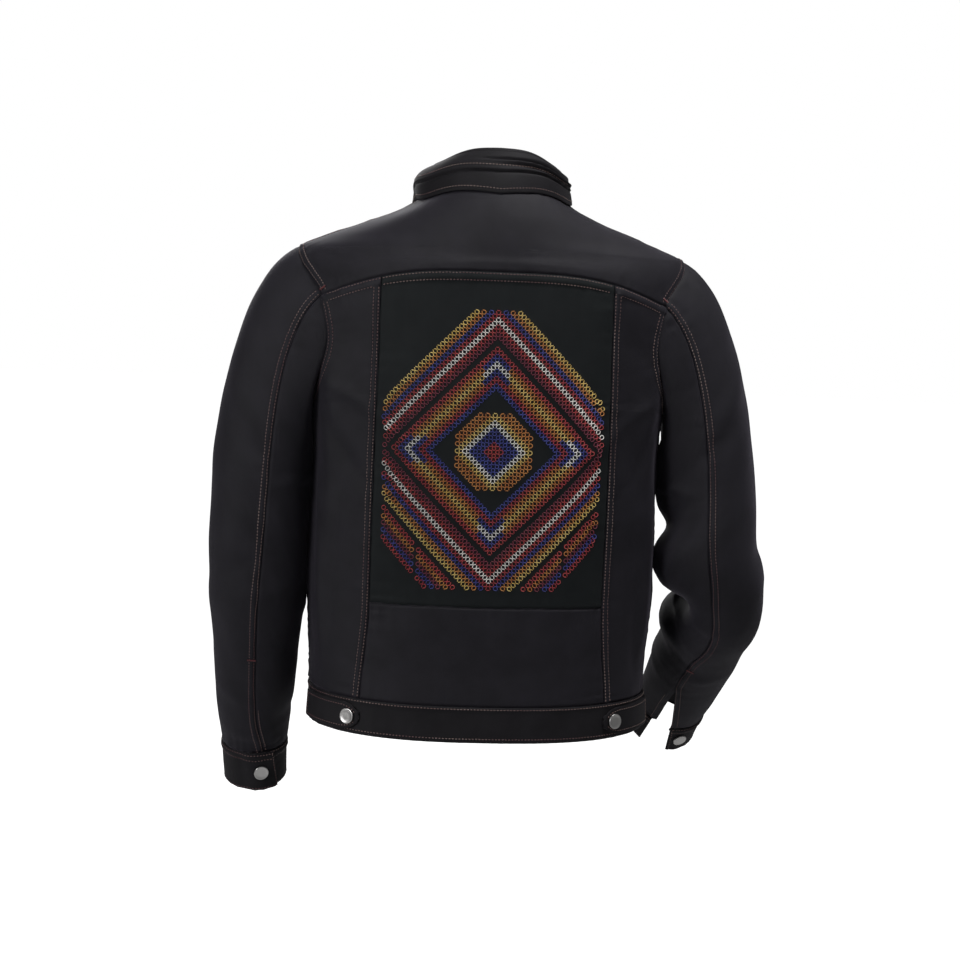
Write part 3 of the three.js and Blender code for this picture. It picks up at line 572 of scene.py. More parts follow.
class Cloth:
    """One piece of cloth: a net of points whose rows run down it."""

    def __init__(self, name, points, normals, inside_out=False, unevenness=0.55):
        self.name = name
        self.points = pull_in(points)
        self.normals = normals
        self.inside_out = inside_out
        self.along = lengths(points, 1)
        self.down = lengths(points, 0)
        self.relief = unevenness * undulation(points)
        self.sunk = np.zeros(self.relief.shape)
        self.tree = None
        self.tucks = []

    def border(self, side):
        """A side's points, normals and the way into the cloth from it."""
        pick = {"top": (0, 1), "bottom": (-1, -2)}.get(side)
        if pick:
            edge, inner, normals = self.points[pick[0]], self.points[pick[1]], self.normals[pick[0]]
        else:
            first, second = (0, 1) if side == "first" else (-1, -2)
            edge, inner = self.points[:, first], self.points[:, second]
            normals = self.normals[:, first]
        tangent = unit(np.gradient(edge, axis=0))
        inward = np.cross(normals, tangent)
        inward *= np.sign((inward * (inner - edge)).sum(-1, keepdims=True))
        return edge, unit(inward)

    def distance(self, side):
        """Each point's distance from a side of the piece, and how far along that side."""
        edge, _ = self.border(side)
        run = lengths(edge, 0)
        dense_run = np.linspace(0, run[-1], max(8, int(run[-1] / 2)))
        dense = at_run(dense_run, run, edge)
        flat = self.points.reshape(-1, 3)
        nearest = np.empty(len(flat))
        place = np.empty(len(flat))
        for start in range(0, len(flat), 4000):
            part = flat[start : start + 4000]
            gap = np.linalg.norm(part[:, None] - dense[None], axis=-1)
            found = gap.argmin(1)
            nearest[start : start + 4000] = gap[np.arange(len(part)), found]
            place[start : start + 4000] = dense_run[found]
        shape = self.points.shape[:2]
        return nearest.reshape(shape), place.reshape(shape)

    def seam(self, side, kind, start=0.0, end=1e6, form=PLAIN_SEAM, drop=EDGE_DROP):
        """Raises a seam's relief along a side, between two distances along it."""
        gap, run = self.distance(side)
        here = smooth((run - start) / SEAM_FADE + 0.5) * smooth((end - run) / SEAM_FADE + 0.5)
        relief = np.zeros(gap.shape)
        self.sunk = np.maximum(self.sunk, here * drop * (1 - smooth(gap / EDGE_ROUND)))
        if kind == "joined":
            self.tucks.append(side)
        if kind == "felled":
            relief += SEAM_RISE * (1 - smooth((gap - form["band"]) / SEAM_SLOPE))
            for row in form["rows"]:
                relief -= STITCH_DIP * np.exp(-(((gap - row) / STITCH_DIP_WIDTH) ** 2))
        phase = sum(map(ord, self.name + side))
        drift = 1.8 * np.sin(run / PUCKERS["drift"] + phase)
        wave = np.sin(2 * math.pi * run / PUCKERS["pitch"] + drift + phase)
        swell = 0.55 + 0.45 * np.sin(run / PUCKERS["swell"] + phase)
        near = np.exp(-gap / PUCKERS["reach"]) * (1 - np.exp(-gap / PUCKERS["clear"]))
        self.relief += here * (relief + PUCKERS["height"] * wave * swell * near)
        self.tree = None
        return self

    def surface(self):
        return self.points + self.normals * (self.relief - self.sunk)[..., None]

    def tucked(self):
        """The net with its allowances, each a strip that runs on under its neighbour."""
        layers = [self.surface(), self.along - self.along[:, -1:] / 2, -self.down]
        normals = self.normals
        for side in self.tucks:
            axis, last = {"top": (0, False), "bottom": (0, True)}.get(side, (1, side == "last"))
            edge, inner = (-1, -2) if last else (0, 1)
            here, before = (np.take(layers[0], n, axis) for n in (edge, inner))
            lie = np.take(normals, edge, axis)
            onward = here - before
            onward -= lie * (onward * lie).sum(-1, keepdims=True)
            strip = here + unit(onward) * TUCK_LENGTH - lie * TUCK_DEPTH
            at = layers[0].shape[axis] if last else 0
            layers[0] = np.insert(layers[0], at, strip, axis)
            normals = np.insert(normals, at, lie, axis)
            for k, runs_on in ((1, axis == 1), (2, axis == 0)):
                value = np.take(layers[k], edge, axis)
                way = (1 if last else -1) * (1 if k == 1 else -1)
                layers[k] = np.insert(layers[k], at, value + runs_on * way * TUCK_LENGTH, axis)
        return layers

    def faces(self):
        rows, columns = self.points.shape[:2]
        corner = (np.arange(rows - 1)[:, None] * columns + np.arange(columns - 1)).reshape(-1)
        return np.stack([corner, corner + columns, corner + columns + 1, corner + 1], -1)

    def cut(self):
        """Width, length and area that the piece was cut to, in metres."""
        sides = self.points[1:, 1:] - self.points[:-1, :-1], self.points[1:, :-1] - self.points[:-1, 1:]
        area = np.linalg.norm(np.cross(*sides), axis=-1).sum() / 2
        width, length = self.along[:, -1].max(), self.down[-1].max()
        return (float(width) * MM, float(length) * MM), float(min(area, width * length)) * MM**2

    def lay(self, path):
        """A path's points moved onto the cloth, with the cloth's normals there."""
        if self.tree is None:
            self.tree = BVHTree.FromPolygons(
                self.surface().reshape(-1, 3).tolist(), self.faces().tolist()
            )
        found = [self.tree.find_nearest(Vector(point)) for point in path]
        points = np.array([tuple(hit[0]) for hit in found])
        normals = np.array([tuple(hit[1]) for hit in found])
        return points, normals * (-1 if self.inside_out else 1)

    def beside(self, side, gap, start=0.0, end=1e6, trim=1.0):
        """A line on the cloth at a distance from one of its sides."""
        edge, inward = self.border(side)
        run = lengths(edge, 0)
        wanted = np.arange(max(start, trim), min(end, run[-1] - trim), 1.6)
        return self.lay(at_run(wanted, run, edge + inward * gap))


# ---- Making meshes ----
def deselect():
    for other in bpy.context.selected_objects:
        other.select_set(False)


def activate(piece):
    deselect()
    piece.select_set(True)
    bpy.context.view_layer.objects.active = piece


def apply_modifier(piece, kind, **settings):
    """Adds a modifier with its settings and applies it."""
    activate(piece)
    modifier = piece.modifiers.new(kind.title(), kind)
    for name, value in settings.items():
        setattr(modifier, name, value)
    bpy.ops.object.modifier_apply(modifier=modifier.name)


def finish_piece(piece, name, material, angle=50):
    """Names a piece, gives it its material, and smooths it below an angle."""
    piece.name = name
    piece.data.name = name
    piece.data.materials.clear()
    piece.data.materials.append(material)
    activate(piece)
    bpy.ops.object.shade_smooth_by_angle(angle=math.radians(angle))
    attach(piece, "root")
    return piece


def sew(cloth, node, thickness, material, rounded=False):
    """Turns a net into a piece of cloth that stands for its solid."""
    order = slice(None) if cloth.inside_out else slice(None, None, -1)
    net, across, down = (layer[order] * MM for layer in cloth.tucked())
    rows, columns = net.shape[:2]
    deselect()
    bpy.ops.mesh.primitive_grid_add(x_subdivisions=columns - 1, y_subdivisions=rows - 1, size=1)
    piece = bpy.context.object
    piece.data.vertices.foreach_set("co", net.reshape(-1).astype(np.float32))
    corners = np.zeros(len(piece.data.loops), np.int32)
    piece.data.loops.foreach_get("vertex_index", corners)
    places = np.stack([across.reshape(-1), down.reshape(-1)], -1)[corners]
    piece.data.uv_layers[0].data.foreach_set("uv", places.reshape(-1).astype(np.float32))
    piece.data.update()
    apply_modifier(piece, "SOLIDIFY", thickness=thickness * MM, offset=-1, use_even_offset=False)
    if rounded:
        apply_modifier(
            piece, "BEVEL", width=0.7 * MM, segments=2, limit_method="ANGLE",
            angle_limit=math.radians(62),
        )
    finish_piece(piece, f"{node}_cloth", material)
    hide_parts(node)
    flat, area = cloth.cut()
    return piece


# ---- Materials ----
def new_material(name, base, roughness, **sockets):
    """A material, its node tree and its shader, with other sockets by their names."""
    material = bpy.data.materials.new(name)
    material.use_nodes = True
    shader = material.node_tree.nodes["Principled BSDF"]
    shader.inputs["Base Color"].default_value = (*base, 1)
    shader.inputs["Roughness"].default_value = roughness
    for socket, value in sockets.items():
        shader.inputs[socket.replace("_", " ")].default_value = value
    return material, material.node_tree, shader


def add_node(tree, kind, reads, **settings):
    """Adds a shader node. `reads` gives each input its value or the output that feeds it."""
    made = tree.nodes.new(f"ShaderNode{kind}")
    for name, value in settings.items():
        setattr(made, name, value)
    for socket, source in reads.items():
        if isinstance(source, bpy.types.NodeSocket):
            tree.links.new(source, made.inputs[socket])
        else:
            made.inputs[socket].default_value = source
    return made.outputs


def add_bump(tree, shader, height, strength, depth):
    """Raises a surface by up to `depth` millimetres as `height` goes from 0 to 1."""
    reads = {"Height": height, "Strength": strength, "Distance": depth * MM}
    tree.links.new(add_node(tree, "Bump", reads)["Normal"], shader.inputs["Normal"])


def grain_group(name):
    """A node group from a place and a scale to a height and a tone, with its ends."""
    group = bpy.data.node_groups.new(name, "ShaderNodeTree")
    for socket, way, kind in (
        ("Place", "INPUT", "Vector"),
        ("Scale", "INPUT", "Float"),
        ("Height", "OUTPUT", "Float"),
        ("Tone", "OUTPUT", "Float"),
    ):
        group.interface.new_socket(socket, in_out=way, socket_type=f"NodeSocket{kind}")
    start = group.nodes.new("NodeGroupInput").outputs
    return group, start["Place"], start["Scale"], group.nodes.new("NodeGroupOutput").inputs


def end_group(group, end, height, tone, low, high):
    """Gives a grain group its height, and its tone as it goes from low to high."""
    share = add_node(group, "MapRange", {"Value": tone, "From Min": low, "From Max": high})
    group.links.new(height, end["Height"])
    group.links.new(share["Result"], end["Tone"])
    return group


def twill_group():
    """Fine diagonal ribs of a twill, with the uneven tone of its yarns."""
    group, place, scale, end = grain_group("twill_weave")
    ribs = add_node(
        group, "TexWave", {"Vector": place, "Scale": scale, "Distortion": 0.6, "Detail": 1.0},
        wave_type="BANDS", bands_direction="DIAGONAL",
    )
    yarn = add_node(group, "TexNoise", {"Vector": place, "Scale": 900, "Detail": 2})
    cloud = add_node(group, "TexNoise", {"Vector": place, "Scale": 26, "Detail": 3})
    reads = {0: yarn["Fac"], 1: 0.5, 2: ribs["Fac"]}
    height = add_node(group, "Math", reads, operation="MULTIPLY_ADD")[0]
    reads = {0: height, 1: 0.35, 2: cloud["Fac"]}
    tone = add_node(group, "Math", reads, operation="MULTIPLY_ADD")[0]
    return end_group(group, end, height, tone, 0.45, 1.1)


def thread_group():
    """The fine twist of a thread, and a slow drift of its tone along it."""
    group, place, scale, end = grain_group("thread_twist")
    drift = add_node(group, "TexNoise", {"Vector": place, "Scale": scale, "Detail": 2})
    ply = add_node(group, "TexNoise", {"Vector": place, "Scale": 2600})
    return end_group(group, end, ply["Fac"], drift["Fac"], 0.35, 0.65)


TWILL = twill_group()
THREAD = thread_group()


def grained_material(name, group, scale, dark, light, roughness, bump, depth, **sockets):
    """A surface with a grain group's relief, and its tone between two colours."""
    material, tree, shader = new_material(name, dark, roughness, **sockets)
    if group is TWILL:
        place = add_node(tree, "UVMap", {}, uv_map="UVMap")["UV"]
    else:
        place = add_node(tree, "TexCoord", {})["Object"]
    grain = add_node(tree, "Group", {"Place": place, "Scale": scale}, node_tree=group)
    reads = {"Factor": grain["Tone"], "A": (*dark, 1), "B": (*light, 1)}
    colour = add_node(tree, "Mix", reads, data_type="RGBA")["Result"]
    tree.links.new(colour, shader.inputs["Base Color"])
    add_bump(tree, shader, grain["Height"], bump, depth)
    return material


def cloth_material(name, dark, light, rib, bump, roughness, sheen, tint, specular):
    """Woven cloth, whose weave lies on the piece's own UV map in metres of cloth."""
    return grained_material(
        name, TWILL, rib, dark, light, roughness, bump, 0.15, Sheen_Weight=sheen,
        Sheen_Roughness=0.45, Sheen_Tint=(*tint, 1), Specular_IOR_Level=specular,
    )


def thread_material(name, colour, second, scale=90.0):
    """A twisted thread whose tone drifts from one colour to the second along it."""
    return grained_material(
        name, THREAD, scale, colour, second, 0.48, 0.5, 0.1, Sheen_Weight=0.25,
        Sheen_Roughness=0.4, Specular_IOR_Level=0.45,
    )


def snap_material():
    """Matte nickel with a fine grain."""
    material, tree, shader = new_material("matte_nickel", (0.62, 0.61, 0.6), 0.36, Metallic=1.0)
    place = add_node(tree, "TexCoord", {})["Object"]
    grain = add_node(tree, "TexNoise", {"Vector": place, "Scale": 1400, "Detail": 3})["Fac"]
    dull = add_node(tree, "MapRange", {"Value": grain, "To Min": 0.3, "To Max": 0.46})
    tree.links.new(dull["Result"], shader.inputs["Roughness"])
    add_bump(tree, shader, grain, 0.25, 0.05)
    return material


JACKET_CLOTH = cloth_material(
    "black_twill", (0.0076, 0.007, 0.0096), (0.0146, 0.0134, 0.0182), 520, 0.55, 0.62,
    0.09, (0.78, 0.71, 0.9), 0.2,
)
BAND_TWILL = cloth_material(
    "black_twill_doubled", (0.0078, 0.0072, 0.0085), (0.0145, 0.0135, 0.016), 520, 0.6, 0.6,
    0.06, (0.8, 0.74, 0.8), 0.13,
)
PANEL_CLOTH = cloth_material(
    "black_plain_weave", (0.006, 0.0075, 0.0085), (0.0105, 0.0125, 0.0135), 700, 0.35, 0.7,
    0.05, (0.75, 0.85, 0.9), 0.16,
)
# The topstitch's second colour, a pale tan, is painted highlight on the maroon thread, laid in random
# patches along it by the thread's noise.
TOPSTITCH = thread_material("maroon_topstitch", (0.095, 0.034, 0.038), (0.24, 0.17, 0.15), 9.0)
BARTACK = thread_material("red_bartack", (0.1, 0.012, 0.018), (0.15, 0.03, 0.03))
SNAP_METAL = snap_material()


# ---- Stitches ----
def bead(segments, rings):
    """Points and faces of one rounded stitch, half a unit long, wide and high."""
    deselect()
    bpy.ops.mesh.primitive_uv_sphere_add(segments=segments, ring_count=rings, radius=0.5)
    piece = bpy.context.object
    points = np.array([vertex.co[:] for vertex in piece.data.vertices])
    faces = [list(face.vertices) for face in piece.data.polygons]
    bpy.data.objects.remove(piece)
    return np.stack([points[:, 2], points[:, 1], points[:, 0]], -1), [face[::-1] for face in faces]


def copies(name, worked, material):
    """One mesh of many small shapes. A place is a centre and its three sides."""
    points, faces, count = [], [], 0
    for (corners, sides), place in worked:
        points.append(place[0] + corners @ np.array(place[1:]))
        faces.extend([[v + count for v in face] for face in sides])
        count += len(corners)
    mesh = bpy.data.meshes.new(name)
    mesh.from_pydata((np.concatenate(points) * MM).tolist(), [], faces)
    mesh.validate()
    piece = bpy.data.objects.new(name, mesh)
    bpy.context.collection.objects.link(piece)
    return finish_piece(piece, name, material, angle=80)


STITCH = bead(6, 3)


def stitch_places(line):
    """Where the stitches of a row lie, along a line on the cloth."""
    points, normals = line
    if len(points) < 3:
        return []
    run = lengths(points, 0)
    at = np.arange(STITCH_PITCH / 2, run[-1], STITCH_PITCH)
    forward = unit(at_run(at + 0.6, run, points) - at_run(at - 0.6, run, points))
    side = unit(np.cross(unit(at_run(at, run, normals)), forward))
    up = np.cross(forward, side)
    centre = at_run(at, run, points) + up * STITCH_LIFT
    return list(zip(centre, forward * STITCH_LENGTH, side * STITCH_WIDTH, up * STITCH_HEIGHT))


def bartack_places(line, bar):
    """A short dense bar of thread across a line."""
    points, normals = line
    n = int(bar["share"] * (len(points) - 1))
    up = unit(normals[n])
    forward = unit(points[min(n + 1, len(points) - 1)] - points[max(n - 1, 0)])
    side = unit(np.cross(up, forward))
    each = side * bar["length"] / BAR["stitches"] * BAR["crowding"]
    sides = forward * BAR["width"], each, up * STITCH_HEIGHT
    middle = points[n] + up * BAR["lift"]
    shifts = np.linspace(-0.5, 0.5, BAR["stitches"]) * bar["length"]
    return [(middle + side * shift, *sides) for shift in shifts]


# ---- Body pieces ----
def body_cloth(name, levels, first, last, out=0.0, unevenness=0.55):
    """A panel of the body whose sides are curves: each gives a turn for every level."""
    start, stop = first(levels)[:, None], last(levels)[:, None]
    across = start + (stop - start) * np.linspace(0, 1, 60)
    shares = spread(lengths(plain_body(across, levels[:, None]), 1)[:, -1].max())
    turn = start + (stop - start) * shares
    level = np.broadcast_to(levels[:, None], turn.shape)
    cloth = Cloth(name, *body(turn, level, out), unevenness=unevenness)
    cloth.relief += folds_at(BODY_CREASES, turn, level)
    return cloth


def princess(level):
    return turn_at_x(read(PRINCESS_SEAMS, "level", "x", level), level)


def princess_right(level):
    return 180 - princess(level)


def back_limit(level):
    return side_limit(level, True)


def back_limit_right(level):
    return 180 - back_limit(level)


def front_limit(level):
    return 360 + side_limit(level, False)


def other_front(turn):
    """The turn of the same place on the wearer's other front."""
    return 180 + 360 - turn


def placket_edge(level):
    return turn_at_x(PLACKET_HALF, level, False)


stitches = []
bartacks = []

TO_YOKE = levels_between(NECK_LEVEL, YOKE_LEVEL)
TO_WAIST = levels_between(YOKE_LEVEL, WAIST_LEVEL, 60)


def topstitch(cloth, side, rows=PLAIN_SEAM["rows"], **limits):
    for row in rows:
        stitches.extend(stitch_places(cloth.beside(side, row, **limits)))


def run_to(cloth, side, level):
    """How far along a body panel's side it comes down to a level."""
    edge, _ = cloth.border(side)
    return float(lengths(edge, 0)[edge[:, 2] > level].max())


def make_yoke():
    """The back yoke, which runs over the shoulders to the front yokes."""
    yoke = body_cloth("yoke_back", TO_YOKE, back_limit, back_limit_right, unevenness=0.4)
    for side in ("first", "last"):
        tip = run_to(yoke, side, ARMHOLE_TIP)
        yoke.seam(side, "felled", start=tip)
        yoke.seam(side, "joined", end=tip, drop=ARMHOLE_DROP)
        topstitch(yoke, side, start=tip + 2)
        bar_from = lengths(yoke.border(side)[0], 0)[-1] - YOKE_BAR["up"]
        bartacks.extend(bartack_places(yoke.beside(side, YOKE_BAR["in"], start=bar_from), YOKE_BAR))
    yoke.seam("bottom", "joined")
    yoke.seam("top", "joined")
    sew(yoke, "yoke_back", CLOTH, JACKET_CLOTH)


def make_side_back(name, first, last, outer):
    """A side panel of the back; `outer` is its side along the armhole."""
    inner = "last" if outer == "first" else "first"
    side = body_cloth(name, TO_WAIST, first, last)
    side.seam("top", "felled", form=YOKE_SEAM)
    topstitch(side, "top", YOKE_SEAM["rows"])
    hole = run_to(side, outer, ARMHOLE_PIT + 1)
    side.seam(outer, "felled", end=hole, drop=ARMHOLE_DROP)
    side.seam(outer, "joined", start=hole)
    topstitch(side, outer, start=ROW_START, end=hole)
    side.seam(inner, "felled", start=ROW_START - 2, form=PANEL_SEAM)
    topstitch(side, inner, PANEL_SEAM["rows"], start=ROW_START)
    side.seam("bottom", "joined")
    sew(side, name, CLOTH, JACKET_CLOTH)


def make_centre_back():
    """The decorated upper panel, which is gathered under the yoke, and the plain lower one."""
    levels = levels_between(YOKE_LEVEL, PANEL_SEAM_LEVEL)
    panel = body_cloth("back_centre_upper", levels, princess, princess_right, unevenness=0.35)
    x, depth = panel.points[..., 0], panel.down
    waves = np.sin(x / GATHERS["wave"] + 1.1 * np.sin(x / GATHERS["drift"]))
    waves *= 0.6 + 0.4 * np.sin(x / GATHERS["swell"] + 1)
    fade = np.exp(-depth / GATHERS["fade"]) * smooth(depth / GATHERS["start"] - 1)
    panel.relief += GATHERS["height"] * waves * fade
    panel.seam("top", "felled", form=YOKE_SEAM)
    topstitch(panel, "top", YOKE_SEAM["rows"])
    for side in ("first", "last", "bottom"):
        panel.seam(side, "joined")
    sew(panel, "back_centre_upper", CLOTH, PANEL_CLOTH)
    lower = body_cloth(
        "back_centre_lower", levels_between(PANEL_SEAM_LEVEL, WAIST_LEVEL), princess, princess_right
    )
    for side in ("top", "bottom", "first", "last"):
        lower.seam(side, "joined")
    sew(lower, "back_centre_lower", CLOTH, JACKET_CLOTH)
    return panel


def front_half(name, levels, first, last, yoke, middle):
    """A front or a front yoke; `middle` is its side along the placket."""
    outer = "last" if middle == "first" else "first"
    front = body_cloth(name, levels, first, last)
    front.seam(middle, "joined")
    if yoke:
        tip = run_to(front, outer, ARMHOLE_TIP)
        front.seam(outer, "felled", start=tip)
        front.seam(outer, "felled", end=tip)
        topstitch(front, outer, start=tip + 2)
        topstitch(front, outer, end=tip)
        front.seam("top", "joined").seam("bottom", "joined")
    else:
        hole = run_to(front, outer, ARMHOLE_PIT + 1)
        front.seam(outer, "felled", end=hole, drop=ARMHOLE_DROP)
        front.seam(outer, "felled", start=hole)
        topstitch(front, outer, start=ROW_START, end=hole)
        topstitch(front, outer, start=hole + 4)
        front.seam("top", "felled", form=YOKE_SEAM).seam("bottom", "joined")
        topstitch(front, "top", YOKE_SEAM["rows"])
    sew(front, name, CLOTH, JACKET_CLOTH)


def make_front():
    """Both fronts with their yokes, and the placket's over and under strips."""

    def over_start(level):
        return other_front(placket_edge(level))

    def right_limit(level):
        return other_front(front_limit(level))

    for name, levels, yoke in (
        ("front_yoke", TO_YOKE, True),
        ("front", TO_WAIST, False),
    ):
        front_half(f"{name}_left", levels, placket_edge, front_limit, yoke, "first")
        front_half(f"{name}_right", levels, right_limit, over_start, yoke, "last")
    strip = levels_between(NECK_LEVEL, WAIST_LEVEL, 270)
    over = body_cloth("placket_left", strip, over_start, placket_edge, BAND_OUT, 0.3)
    for side in ("first", "last"):
        over.seam(side, "turned")
        topstitch(over, side, PLACKET_ROWS[side])
    sew(over, "placket_left", BAND_CLOTH, BAND_TWILL, rounded=True)

    def under_start(level):
        return turn_at_x(-PLACKET_HALF - PLACKET_TUCK, level, False)

    def under_end(level):
        return turn_at_x(PLACKET_HALF - PLACKET_TUCK, level, False)

    under_out = BAND_OUT - BAND_CLOTH - 2 * SEAM_GAP
    below_neck = strip[strip < NECK_LEVEL - 12]
    under = body_cloth("placket_right", below_neck, under_start, under_end, under_out, 0.0)
    sew(under, "placket_right", CLOTH, JACKET_CLOTH)


def make_waistband():
    """One strip round the body, whose under end dips behind the over end's lap."""
    over_end = float(turn_at_x(-PLACKET_HALF, WAIST_LEVEL, False)) - 360
    under_end = float(turn_at_x(LAP, WAIST_LEVEL, False))
    lap_from = over_end + 360 - LAP_SLOPE
    shares = np.linspace(0, 1, WAISTBAND_COLUMNS)
    rows = spread(WAIST_LEVEL - HEM_LEVEL, step=BAND_STEP)
    level = WAIST_LEVEL + (HEM_LEVEL - WAIST_LEVEL) * rows[:, None]
    turn = over_end + (under_end - over_end) * shares[None]
    dip = smooth((turn - lap_from) / LAP_SLOPE + LAP_LEAD) * (BAND_CLOTH + 2 * SEAM_GAP)
    turn, level = np.broadcast_arrays(turn, level)
    points, normals = body(turn, level, WAISTBAND_OUT - dip)
    band = Cloth("waistband", points, normals, unevenness=0.4)
    band.seam("top", "felled", form=WAIST_SEAM).seam("bottom", "turned")
    topstitch(band, "top", WAIST_SEAM["rows"])
    topstitch(band, "bottom", (HEM_ROW,))
    topstitch(band, "first", (BAND_END_ROW,), start=BAND_END_ROW, end=36)
    sew(band, "waistband", BAND_CLOTH, BAND_TWILL, rounded=True)


def tab_net(mirror):
    """A strip from the side seam with a half-round end."""
    middle, half_height = (TAB["top"] + TAB["bottom"]) / 2, (TAB["top"] - TAB["bottom"]) / 2
    seat = WAISTBAND_OUT + 2 * SEAM_GAP + TAB["cloth"]
    share = 1 - (1 - np.linspace(0, 1, TAB_NET["columns"])) ** TAB_NET["crowding"]
    turn = TAB["from"] + (TAB["to"] - TAB["from"]) * share
    into = np.clip((turn - (TAB["to"] - TAB["end"])) / TAB["end"], 0, TAB_NET["blunt"])
    half = half_height * np.sqrt(1 - into**2)
    rows = np.linspace(1, -1, TAB_NET["rows"])
    level = middle + half[None] * rows[:, None]
    if mirror:
        turn, level = (180 - turn)[::-1], level[:, ::-1]
    turn = np.broadcast_to(turn[None], level.shape)
    return body(turn, level, seat)


def make_tab(name, mirror):
    points, normals = tab_net(mirror)
    tab = Cloth(f"waist_tab_{name}", points, normals, unevenness=0.2)
    round_end = "first" if mirror else "last"
    for side in ("top", "bottom", round_end):
        gap, _ = tab.distance(side)
        tab.relief -= TAB_EDGE["drop"] * (1 - smooth(gap / TAB_EDGE["round"]))
    for side in ("top", "bottom"):
        topstitch(tab, side, (TAB_ROW,), trim=5)
    plain_end = "last" if mirror else "first"
    topstitch(tab, plain_end, TAB_END_ROWS, trim=4)
    sew(tab, f"waist_tab_{name}", TAB["cloth"], BAND_TWILL, rounded=True)


# ---- Collar ----
def make_collar():
    """Stand, roll and leaf in one net, from the stand's foot to the leaf's edge."""
    turns = 90 + (90 - COLLAR_ROWS["turn"][0]) * np.linspace(-1, 1, COLLAR_COLUMNS)
    mirror = turns > 90  # the wearer's right half
    own = np.where(mirror, 180 - turns, turns)
    neck, normal = body(own, np.full(own.shape, float(NECK_LEVEL)))
    radial = unit(normal * np.array([1, 1, 0]))
    stand, edge_turn, edge_level = (
        read(COLLAR_ROWS, "turn", column, own) for column in ("stand", "edge_turn", "edge_level")
    )
    up = np.array([0, 0, 1.0])
    foot = -COLLAR_INSET - COLLAR_CLOTH
    shoulder = stand - COLLAR_ROLL

    def place(outward, height):
        return neck + radial * outward[:, None] + up * height[:, None]

    rows = []
    for share in np.linspace(0, 1, STAND_ROWS):
        height = -COLLAR_SINK + (shoulder + COLLAR_SINK) * share
        rows.append(place(foot - COLLAR_LEAN * height, height))
    roll = foot - COLLAR_LEAN * shoulder + COLLAR_ROLL
    for angle in COLLAR_ROLL_ANGLES:
        across, lift = math.cos(math.radians(angle)), math.sin(math.radians(angle))
        rows.append(place(roll + COLLAR_ROLL * across, shoulder + COLLAR_ROLL * lift))
    top = place(roll + COLLAR_ROLL, shoulder)
    near = np.exp(-(((own - COLLAR_SWELL["turn"]) / COLLAR_SWELL["spread"]) ** 2)) * ~mirror
    edge, _ = body(edge_turn, edge_level, COLLAR_SEAT + COLLAR_SHOWN)
    leaf_shares = np.linspace(0, 1, LEAF_ROWS)
    for share in leaf_shares:
        bulge = COLLAR_BULGE * math.sin(math.pi * share)
        swell = COLLAR_SWELL["out"] * math.sin(math.pi * share ** COLLAR_SWELL["crowding"])
        out = radial * (bulge + swell * near)[:, None]
        rows.append(top + (edge - top) * share + out + up * bulge)
    points = np.array(rows)
    points[:, mirror, 0] *= -1
    normals = unit(np.cross(np.gradient(points, axis=0), np.gradient(points, axis=1)))
    collar = Cloth("collar", points, normals, unevenness=0.25)
    first_leaf_row = len(rows) - LEAF_ROWS
    leaf = np.concatenate([np.zeros(first_leaf_row), leaf_shares])[:, None]
    on_leaf = (leaf > 0).astype(float)
    away = (turns[None] - 90) / 90  # -1 at the wearer's left shoulder, 1 at the right
    line = COLLAR_CREASE_LINE
    crease = line["middle"] + line["shoulders"] * away**2 + line["right"] * smooth(away)
    below = leaf - crease
    groove = (below - line["groove_below"]) / line["groove_width"]
    collar.relief += COLLAR_STEP * on_leaf * (1 - smooth(below / line["step"] + 0.5))
    collar.relief -= COLLAR_CREASE * on_leaf * np.exp(-(groove**2))
    collar.relief += COLLAR_PLUMP * np.sin(math.pi * leaf) * smooth(-away)
    for n in range(len(COLLAR_FOLDS["height"])):
        fold = {name: column[n] for name, column in COLLAR_FOLDS.items()}
        at = fold["middle"] + (fold["right"] - fold["middle"]) * smooth(away)
        shown = smooth((away - fold["from_away"]) * 3) * smooth((1.1 - away) * 4) * on_leaf
        collar.relief += fold["height"] * shown * np.exp(-(((leaf - at) / fold["width"]) ** 2))
    gap, _ = collar.distance("bottom")
    collar.relief -= COLLAR_EDGE["drop"] * (1 - smooth(gap / COLLAR_EDGE["round"]))
    at_row = first_leaf_row + (crease[0] - line["row_above"]) * (LEAF_ROWS - 1)
    low, part = at_row.astype(int), (at_row % 1)[:, None]
    column = np.arange(len(turns))
    path = collar.points[low, column] * (1 - part) + collar.points[low + 1, column] * part
    stitches.extend(stitch_places(collar.lay(path[6:-6])))
    topstitch(collar, "bottom", (COLLAR_ROW,))
    for side in ("first", "last"):
        topstitch(collar, side, (COLLAR_END_ROW,), start=60)
    sew(collar, "collar", COLLAR_SHOWN, BAND_TWILL, rounded=True)


